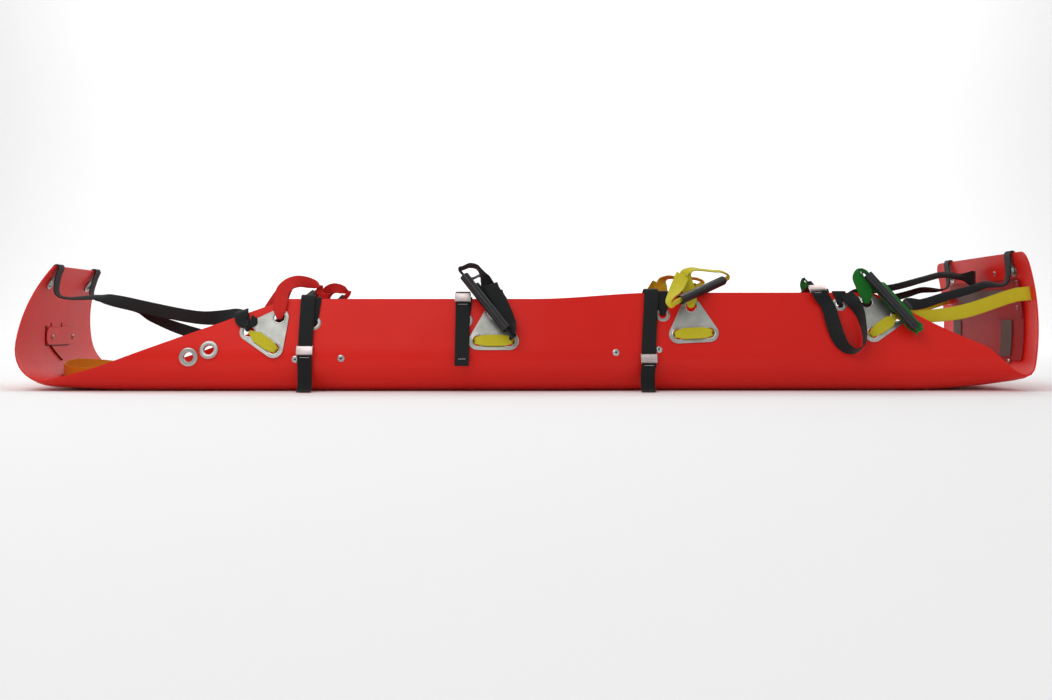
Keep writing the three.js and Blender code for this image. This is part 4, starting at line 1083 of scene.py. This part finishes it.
def handle_band(handle, plate):
    """A handle's loop: out through the plate's hole, through the grip and back in."""
    hole_x, hole_z, _ = plate
    turn = [Station(on_wall(hole_x, hole_z + dz, out), WALL_X, w) for dz, out, w in HOLE_TURN_IN]
    start, stop = (on_wall(*place) for place in handle["grip"])
    if handle.get("reverse"):
        start, stop = stop, start
    side = wall_way(*handle["grip_side"])
    inside = [Station(start.lerp(stop, t), side, 12, 3.6) for t in TUBE_STOPS]
    return Band(turn + wall_run(handle["first"]) + inside + wall_run(handle["second"]), closed=True)


def grip_shapes(handle):
    """The grip's tube and its seam, in place on the near side."""
    start, stop = (on_wall(*place) for place in handle["grip"])
    middle = (start + stop) / 2
    way = (stop - start).normalized()
    facing = Vector((0, -1, 0.18))
    facing = (facing - way * facing.dot(way)).normalized()
    side = way.cross(facing)
    half = GRIP_LENGTH / 2
    rim = ((GRIP_BORE, 0.6), (GRIP_BORE + 0.5, 0), (GRIP_R - 0.7, 0), (GRIP_R, 0.9))
    outline = [(r, inset - half) for r, inset in rim] + [(r, half - inset) for r, inset in rim[::-1]]
    shell = outward(lathe(outline, 40)).moved(basis(side, way.cross(side), way, middle))
    seam = block(1.6, GRIP_LENGTH - 2, 0.7, 0.3)
    return shell, seam.moved(basis(side, way, side.cross(way), middle + facing * (GRIP_R - 0.3)))


STITCHES_FROM = 4.35            # the first row's station along the loop
STITCHES_APART = 0.32           # stations between two rows
for number, (handle, plate) in enumerate(zip(HANDLES, PLATES), 1):
    name = f"handle_{number}"
    grip = f"{name}_grip"
    colour = handle["colour"]
    band = handle_band(handle, plate)
    pair(name, band.shape(), WEB_MATERIALS[colour], name)
    shell, seam = grip_shapes(handle)
    pair(grip, shell, GRIP, grip)
    pair(f"{grip}_seam", seam, SEAM, grip, False)
    threads = Shape()
    for row in range(5):
        threads.join(stitched(band, STITCHES_FROM + row * STITCHES_APART))
    thread = PALE_THREAD if colour == "red" else GREY_THREAD
    pair(f"{name}_stitches", threads, thread, name, False)


# ---- cross straps
STRAP_T = 1.8
STRAP_OUT = 6.2
ANCHOR_T = 1.4
ANCHOR_OUT = 2.5
CAM_CLEAR = 2.0
BUCKLE_WIDE = 34.0
BUCKLE_TALL = 20.0
BUCKLE_BASE = 1.2
BUCKLE_WALL = 1.5
BUCKLE_HIGH = 7.6
LEAN_SHARE = 0.8                # how much of a strap's lean its buckle takes
STRAPS = [
    {"x": -463, "sag": 68, "crest": 7, "buckle": 87, "tail": 2.5, "lean": 0, "tilt": 0},
    {"x": -134, "sag": 16, "crest": 14, "buckle": 199, "tail": 56, "lean": 0, "tilt": 0},
    {"x": 268, "sag": 18, "crest": 7, "buckle": 70, "tail": 2.5, "lean": -12, "tilt": 0},
    {"x": 625, "sag": 16, "crest": 17, "buckle": 217, "lean": 0, "tilt": 40},
]
CREST_OUT = 5.0
FAR_CREST = 7
# the slack tail of strap 4 hangs in a loop and comes back up beside itself
SLACK_LOOP = (
    (640, 190, 8, 30, (0.9, 0.35)), (646, 172, 9, 30, (0.93, 0.3, 0.1)), (652, 140, 11, 30, (0.9, 0.25, 0.3)),
    (659, 113, 14, 30, (0.7, 0.3, 0.65)), (672, 93, 17, 28, (0.35, 0.3, 0.9)), (690, 86, 18, 28, (0, 0.1, 1)),
    (707, 96, 19, 28, (-0.1, 0, 1)), (712, 115, 19, 28, (0, 0, 1)), (712, 136, 19, 28, (0.1, 0, 1)),
    (708, 165, 17, 28, (0.35, 0.1, 0.9)), (701, 184, 14, 28, (0.6, 0.2, 0.7)),
    (692, 198, 9, 28, (0.9, 0.3, 0.15)),
    (686, 208, 7, 28, (1, 0.1)),
)


def buckle_place(strap, out):
    """A buckle's frame: x along the wall, y up its strap, z out."""
    x = strap["x"] + strap["lean"] * LEAN_SHARE
    middle = on_wall(x, strap["buckle"], CREST_OUT if strap["tilt"] else STRAP_OUT)
    tilt = Matrix.Rotation(-math.radians(strap["tilt"]), 4, "X")
    return wall_matrix(middle) @ tilt @ Matrix.Translation((0, 0, out))


def strap_stations(strap, eyelet_place):
    x, lean, crest, buckle = (strap[key] for key in ("x", "lean", "crest", "buckle"))
    eye_x, eye_z = eyelet_place
    top = wall_top(x)
    half = BUCKLE_TALL / 2 + 2
    shift = eye_x - x

    def near(z, out, dx=0.0):
        return Station(on_wall(x + dx, z, out), WALL_X)

    def far(z, out, w=WEB, dx=0.0):
        return Station(across_far(on_wall(x + dx, z, out)), WALL_X, w)

    through = ((24, -6.8, 20), (13, -6.6, 17), (4, -5.6, 12), (-2, -1.5, 11), (4, 3, 12), (13, 5.2, 20))
    made = [far(eye_z + up, out, w, shift) for up, out, w in through]
    made += [far(top - 4, STRAP_OUT, WEB, shift * 0.2), far(top + FAR_CREST, 2.5), far(top + FAR_CREST, -8)]
    span = -on_wall(x, top + FAR_CREST, -8).y
    for t in (0.75, 0.5, 0.25, 0, -0.25, -0.5, -0.75):
        rise = lerp(crest, FAR_CREST, (t + 1) / 2)
        made.append(Station((x, span * t, top + rise - strap["sag"] * (1 - t ** 4)), WALL_X))
    if strap["tilt"]:
        place = buckle_place(strap, 0)
        made += [Station(place @ Vector((0, up, 0)), WALL_X) for up in (half + 5, half, -half, -half - 5)]
        return made + wall_run(SLACK_LOOP)
    made += [near(top + crest, -8), near(top + crest, 2.5)]
    if crest < half:
        made.append(near(top - 4, STRAP_OUT))
    made.append(near(buckle + half, STRAP_OUT, lean * LEAN_SHARE))
    tail = strap["tail"]
    if tail > WALL_FOOT_Z - 40:
        made += [near(buckle - half, STRAP_OUT), near(tail + 30, STRAP_OUT + 1)]
        return made + [near(tail, STRAP_OUT + 4)]
    hang = near(buckle - half, STRAP_OUT, lean * LEAN_SHARE)
    curled = ((40, -1.5), (14, 0), (4, 7), (tail, 19))
    return made + [hang] + [Station((x + lean, hang.p.y - out, z), WALL_X) for z, out in curled]


def anchor_band(x, z):
    top = wall_top(x)
    places = (
        (z - 2, -1.5, 11), (z + 4, 2.3, 12), (z + 12, ANCHOR_OUT, 20), (top - 3, ANCHOR_OUT, 27),
        (top + 2, ANCHOR_OUT - 1, 28), (top + 3, -1.5, 28), (top + 2.4, -SHEET - 1.2, 28),
        (top - 3, -SHEET - ANCHOR_OUT, 27), (z + 12, -SHEET - ANCHOR_OUT, 20), (z + 4, -SHEET - 2.3, 12),
    )
    stations = [Station(on_wall(x, height, out), WALL_X, w) for height, out, w in places]
    return Band(stations, closed=True, thick=ANCHOR_T, fold=0.08)


def buckle_shapes():
    """The buckle's channel with its bar, and the lever, both in wall frames."""
    body = block(BUCKLE_WIDE, BUCKLE_TALL, BUCKLE_BASE, 0.4)
    for way in (-1, 1):
        cheek = block(BUCKLE_WALL, BUCKLE_TALL, BUCKLE_HIGH, 0.5)
        body.join(cheek.moved(Matrix.Translation((way * (BUCKLE_WIDE - BUCKLE_WALL) / 2, 0, 0))))
    bar = block(BUCKLE_WIDE, 3, 1.6, 0.4)
    body.join(bar.moved(Matrix.Translation((0, 1.5 - BUCKLE_TALL / 2, BUCKLE_HIGH - 3.4))))
    outline = [(6.5 + 2.5 * math.cos(t), 1.5 + 2.5 * math.sin(t)) for t in steps(-0.6, math.pi / 2, 8)]
    outline += [(2.0, 3.8), (2.0, 1.0), (6.0, -0.4)]
    half = (BUCKLE_WIDE - 2 * BUCKLE_WALL - 1.2) / 2
    points = [(x, up, out) for x in (-half, half) for up, out in outline]
    count = len(outline)
    lever = outward(Shape().add(points, grid_faces(2, count, False, True) + caps(count, 2)))
    thumb = block(BUCKLE_WIDE, BUCKLE_TALL - 4, 1.4, 0.5)
    lever.join(thumb.moved(Matrix.Translation((0, -2, 2.6))))
    for k in range(4):
        ridge = block(BUCKLE_WIDE - 7, 0.7, 0.3, 0.12)
        lever.join(ridge.moved(Matrix.Translation((0, -8.5 + k * 1.6, 3.9))))
    return body, lever


BUCKLE_UNDER = -STRAP_T / 2 - 0.35 - BUCKLE_BASE
BOLD_STITCH = (3.2, 1.1, 0.4)   # length, thickness, height
buckle_body, cam_lever = buckle_shapes()
for number, (strap, eye) in enumerate(zip(STRAPS, STRAP_EYELETS), 1):
    name = f"strap_{number}"
    band = Band(strap_stations(strap, eye), thick=STRAP_T)
    buckle = buckle_body.moved(buckle_place(strap, BUCKLE_UNDER))
    lever = cam_lever.moved(buckle_place(strap, STRAP_T / 2 + CAM_CLEAR))
    for part, shape, material, slot, body in (
        (name, band.shape(), BLACK_WEB, "web_black", BODY),
        (f"{name}_anchor", anchor_band(*eye).shape(), BLACK_WEB, "web_black", BODY),
        (f"{name}_buckle", buckle, BUCKLE_STEEL, "buckle_steel", BODY),
        (f"{name}_cam", lever, BUCKLE_STEEL, "buckle_steel", f"{name}_cam"),
    ):
        piece(f"{part}_look", shape, material, body, (part,))
    face = buckle_place(strap, STRAP_T / 2)
    at = face @ Vector((0, -BUCKLE_TALL / 2 - 5, 0.3))
    threads = stitch_row(at, WALL_X, face.to_3x3() @ UP, 5, *BOLD_STITCH)
    if number == 2:
        at = on_wall(strap["x"], strap["tail"] + 14, STRAP_OUT + STRAP_T + 1.3)
        threads.join(stitch_row(at, WALL_X, WALL_OUT, 4, *BOLD_STITCH))
    piece(f"{name}_stitches", threads, PALE_THREAD)


# ---- end straps and bridle
HOLE_SHARE = 5.0


def mirrored_run(half, middle):
    """The near half's stations, the middle, and the half's mirror image."""
    far = [Station(across_far(q.p), -across_far(q.side), q.w, q.t) for q in reversed(half)]
    return half + middle + far


# how far the foot strap's far run hangs below its near one: from x, to x, drop
FOOT_SLACK = ((-970, -940, 26), (-940, -900, 40), (-900, -800, 58), (-800, -660, 62), (-660, -630, 20))

ACROSS = (0, 1, 0)


def foot_strap_stations():
    """From the near plate 1 over the wall, round the foot's tip and back."""
    v = CORNER_EYELETS["foot"][1]
    tip = FOOT_END
    half = plate_run(PLATES[0], 1, (
        (-12, 16, -8.5, 16, (1, 0.6)), (-8, 6, -6, 11, (1, 0.8)), (-HOLE_SHARE, 0, -0.5, 10, (1, 0.9)),
        (-HOLE_SHARE - 2, 7, 4.8, 12, (1, 0.9)), (-9, 21, 5, 26, (1, 0.6)),
    ))
    half += wall_run((
        (-598, 150, 4.8, WEB, (1, 0.4)), (-602, 165, 4.4, WEB, (0.94, 0.34)),
        (-604, 171, -1.5, WEB, (0.94, 0.34)), (-608, 168, -9, WEB, (0.9, 0.45)),
        (-640, 160, -22, WEB, (0.1, 1)),
    ))
    half += free_run((
        (-692, -215, 156, WEB, (0, -0.3, 1)), (-834, -165, 179, WEB, (0, -0.3, 1)),
        (-927, -135, 199, 24, (0.1, 0.4, 0.9)), (-960, -122, 204, 18, (0.1, 0.8, 0.6)),
    ))
    half += sheet_run((
        (tip + 62, -v + 6, -SHEET - 24, 26, ACROSS), (tip + 22, -v, -SHEET - 8, WEB, ACROSS),
        (tip + 1, -v, -SHEET - 4, WEB, ACROSS), (tip - 4, -v, -SHEET / 2, WEB, ACROSS),
        (tip + 1, -v, 4, WEB, ACROSS), (tip + 22, -v + 4, 5, WEB, (0.3, 1, 0.3)),
        (tip + 36, -v + 24, 5, WEB, (0.5, 0.3, 0.8)),
    ))
    made = mirrored_run(half, sheet_run([(tip + 38, 0, 5, WEB, (0.5, 0, 0.8))]))
    for q in made[len(half):]:
        for start, stop, drop in FOOT_SLACK:
            if start <= q.p.x < stop:
                q.p.z -= drop
                break
    return made


def head_strap_stations():
    """From the near plate 4 over the wall, round the head's tip and back."""
    v = CORNER_EYELETS["head"][1]
    tip = HEAD_END
    half = plate_run(PLATES[3], 2, (
        (-2, 22, -8.5, 16, (1, -0.2)), (2, 12, -6.2, 11, (1, -0.5)), (HOLE_SHARE, 3, -0.5, 10, (1, -0.9)),
        (HOLE_SHARE + 2, 8, 5.4, 12, (1, -0.8)),
    ))
    half += wall_run((
        (803, 174, 6.2, 24, (0.8, -0.6)), (814, 183, 4, 26, (0.7, -0.7)), (824, 186, -7, WEB, (0.5, -0.9)),
    ))
    half += free_run((
        (850, -216, 186, 22, (0, 0.1, 1)), (901, -208, 201, 20, (0, 0.2, 1)),
        (970, -200, 220, 18, (0, 0.3, 0.9)), (1000, -192, 230, 18, (0, 0.6, 0.8)),
    ))
    half += sheet_run((
        (tip - 62, -v + 3, -SHEET - 22, 20, ACROSS), (tip - 24, -v, -SHEET - 9, WEB, ACROSS),
        (tip - 1, -v, -SHEET - 4, WEB, ACROSS), (tip + 4, -v, -SHEET / 2, WEB, ACROSS),
        (tip - 1, -v, 4, WEB, ACROSS), (tip - 22, -v + 4, 5, WEB, (-0.3, 1, 0.3)),
        (tip - 36, -v + 24, 5, WEB, (-0.3, 0.3, 0.9)),
    ))
    return mirrored_run(half, sheet_run([(tip - 38, 0, 5, WEB, (-0.3, 0, 0.95))]))


BRIDLE_SHARE = 7.5
INSIDE_CLEAR = 55
INSIDE_Z = 114
INSIDE_OUT = -8.5


def bridle_stations():
    """In and out through the lower holes of all four plates, then the slot."""
    half = []
    flat = (0, 1)
    for i, plate in enumerate(PLATES):
        inward = 17 if i == 0 else -14
        foot = BRIDLE_SHARE if i == 0 else 0
        head = -BRIDLE_SHARE if i == 3 else 0
        lift = 8 if i == 0 else -4
        half += plate_run(plate, 1, (
            (foot + inward - 3, lift, -8, 14, flat), (foot + inward * 0.35 - 4, 0, -5.5, 10, flat),
            (foot - 7, -1, -1.5, 7 if foot else 11, flat), (foot - 5, -0.5, 2.6, 8 if foot else 14, flat),
            (foot + 3, 0, 4.9, 12 if foot else 20, flat), (foot + 15, 0, 5.3, 25, flat),
        ))
        half += plate_run(plate, 2, (
            (head - 15, 0, 5.3, 25, flat), (head - 3, 0, 4.9, 12 if head else 20, flat),
            (head + 5, -0.5, 2.6, 8 if head else 14, flat), (head + 5.5, -1, -1.5, 7 if head else 10, flat),
            (head + 13, lift, -8.5, 14, flat),
        ))
        if i < 3:
            start = plate_hole(plate, 2).x + INSIDE_CLEAR
            stop = plate_hole(PLATES[i + 1], 1).x - INSIDE_CLEAR
            half += wall_run((x, INSIDE_Z, INSIDE_OUT, WEB, flat) for x in (start, stop))
    upright = (-0.2, 0, 1)
    half += [
        Station(on_wall(835, 158, -16), (0.1, 0.2, 1), 26),
        Station(on_wall(940, 169, -24), (0, 0.1, 1)),
    ]
    slot = ((22, -SHEET - 22), (2, -SHEET - 7), (0, -SHEET / 2), (4, 4), (40, 6))
    half += sheet_run((SLOT_S, -SLOT_V + inset, out, WEB, upright) for inset, out in slot)
    return mirrored_run(half, sheet_run([(SLOT_S, 0, 6, WEB, upright)]))


def harness_stations():
    """A gathered band from the wall to a folded bundle at the head's tip."""
    end = on_sheet(HEAD_END - 46, -10, -SHEET - 22)
    made = wall_run(((692, 170, -7, 18, (1, 0)), (696, 194, -14, 20, (1, -0.3))))
    made.append(Station(on_wall(716, 210, -30), (0.5, 0.2, -0.6), 18))
    made += free_run((
        (800, -185, 222, 16, (0, 0.4, -0.9)), (880, -150, 242, 14, (0, -0.2, -0.95)),
        (935, -110, 254, 14, (0, -0.3, -0.95)),
    ))
    bundle = (
        ((-40, -22, 4), (0, -0.3, -0.95), 16, None), ((-12, -14, 0), (0, -0.2, -0.97), 38, 8),
        ((-2, 6, -2), (0, 0, -1), 42, 14), ((2, 26, -2), (0, 0, -1), 36, 12),
    )
    return made + [Station(end + Vector(offset), side, w, t) for offset, side, w, t in bundle]


for name, stations, material, slot, fine, fold in (
    ("foot_strap", foot_strap_stations(), BLACK_WEB, "web_black", 6, FOLD),
    ("head_strap", head_strap_stations(), BLACK_WEB, "web_black", 6, FOLD),
    ("lifting_bridle", bridle_stations(), YELLOW_WEB, "web_yellow", 5, 0.12),
    ("head_harness", harness_stations(), BUNDLE, "web_black", 6, FOLD),
):
    piece(f"{name}_look", Band(stations, fine=fine, fold=fold).shape(), material, replaces=(name,))


# ---- stage, in metres
FLOOR_NEAR = -9.0
FLOOR_BACK = 5.0
SWEEP_R = 2.5
WALL_HIGH = 12.0
FLOOR_HALF = 16.0
FLOOR_TONE = 0.94


def cyclorama():
    """A pale floor that sweeps up into a wall behind the object."""
    outline = [(FLOOR_NEAR, 0.0), (FLOOR_BACK, 0.0)]
    outline += [(FLOOR_BACK + SWEEP_R * math.sin(t), SWEEP_R * (1 - math.cos(t)))
                for t in steps(0, math.pi / 2, 24)[1:]]
    outline.append((FLOOR_BACK + SWEEP_R, WALL_HIGH))
    points = [(x, y, z) for y, z in outline for x in (-FLOOR_HALF, FLOOR_HALF)]
    mesh = bpy.data.meshes.new("stage_floor")
    mesh.from_pydata(points, [], [face[::-1] for face in grid_faces(len(outline), 2)])
    mesh.shade_smooth()
    made = bpy.data.objects.new("stage_floor", mesh)
    bpy.context.scene.collection.objects.link(made)
    g = Graph("stage_pale", (FLOOR_TONE, FLOOR_TONE, FLOOR_TONE, 1), 0.9, 0.0, 0.1)
    mesh.materials.append(g.material)
    return made


def area_light(name, place, target, size, power):
    data = bpy.data.lights.new(name, "AREA")
    data.shape = "RECTANGLE"
    data.size, data.size_y = size
    data.energy = power
    made = bpy.data.objects.new(name, data)
    made.location = place
    made.rotation_mode = "QUATERNION"
    made.rotation_quaternion = (Vector(target) - Vector(place)).to_track_quat("-Z", "Y")
    bpy.context.scene.collection.objects.link(made)


cyclorama()
# place, target, size, watts
area_light("key", (-1.6, -2.2, 3.2), (0.0, 0.0, 0.1), (3.6, 2.2), 54)
area_light("fill", (2.4, -2.6, 2.0), (0.3, 0.0, 0.1), (2.5, 2.0), 4)
area_light("top", (0.0, 1.0, 3.6), (0.0, 0.0, 0.0), (4.5, 2.5), 34)
area_light("backdrop", (0.0, 4.0, 5.0), (0.0, 6.6, 1.0), (9.0, 2.0), 260)

WORLD_STRENGTH = 0.45
CAMERA_PLACE = (0, -2.5, 0.141)
CAMERA_DOWN = 1.35              # degrees below level
CAMERA_LENS = 36.3
SENSOR_WIDE = 36

scene = bpy.context.scene
world = bpy.data.worlds.new("studio")
world.use_nodes = True
background = world.node_tree.nodes["Background"]
background.inputs["Color"].default_value = (1, 1, 1, 1)
background.inputs["Strength"].default_value = WORLD_STRENGTH
scene.world = world
scene.view_settings.view_transform = "Standard"
scene.view_settings.look = "None"

camera_data = bpy.data.cameras.new("camera")
camera_data.sensor_width = SENSOR_WIDE
camera_data.lens = CAMERA_LENS
camera_data.clip_end = 60
camera = bpy.data.objects.new("camera", camera_data)
camera.location = CAMERA_PLACE
camera.rotation_euler = (math.radians(90 - CAMERA_DOWN), 0, 0)
scene.collection.objects.link(camera)
scene.camera = camera
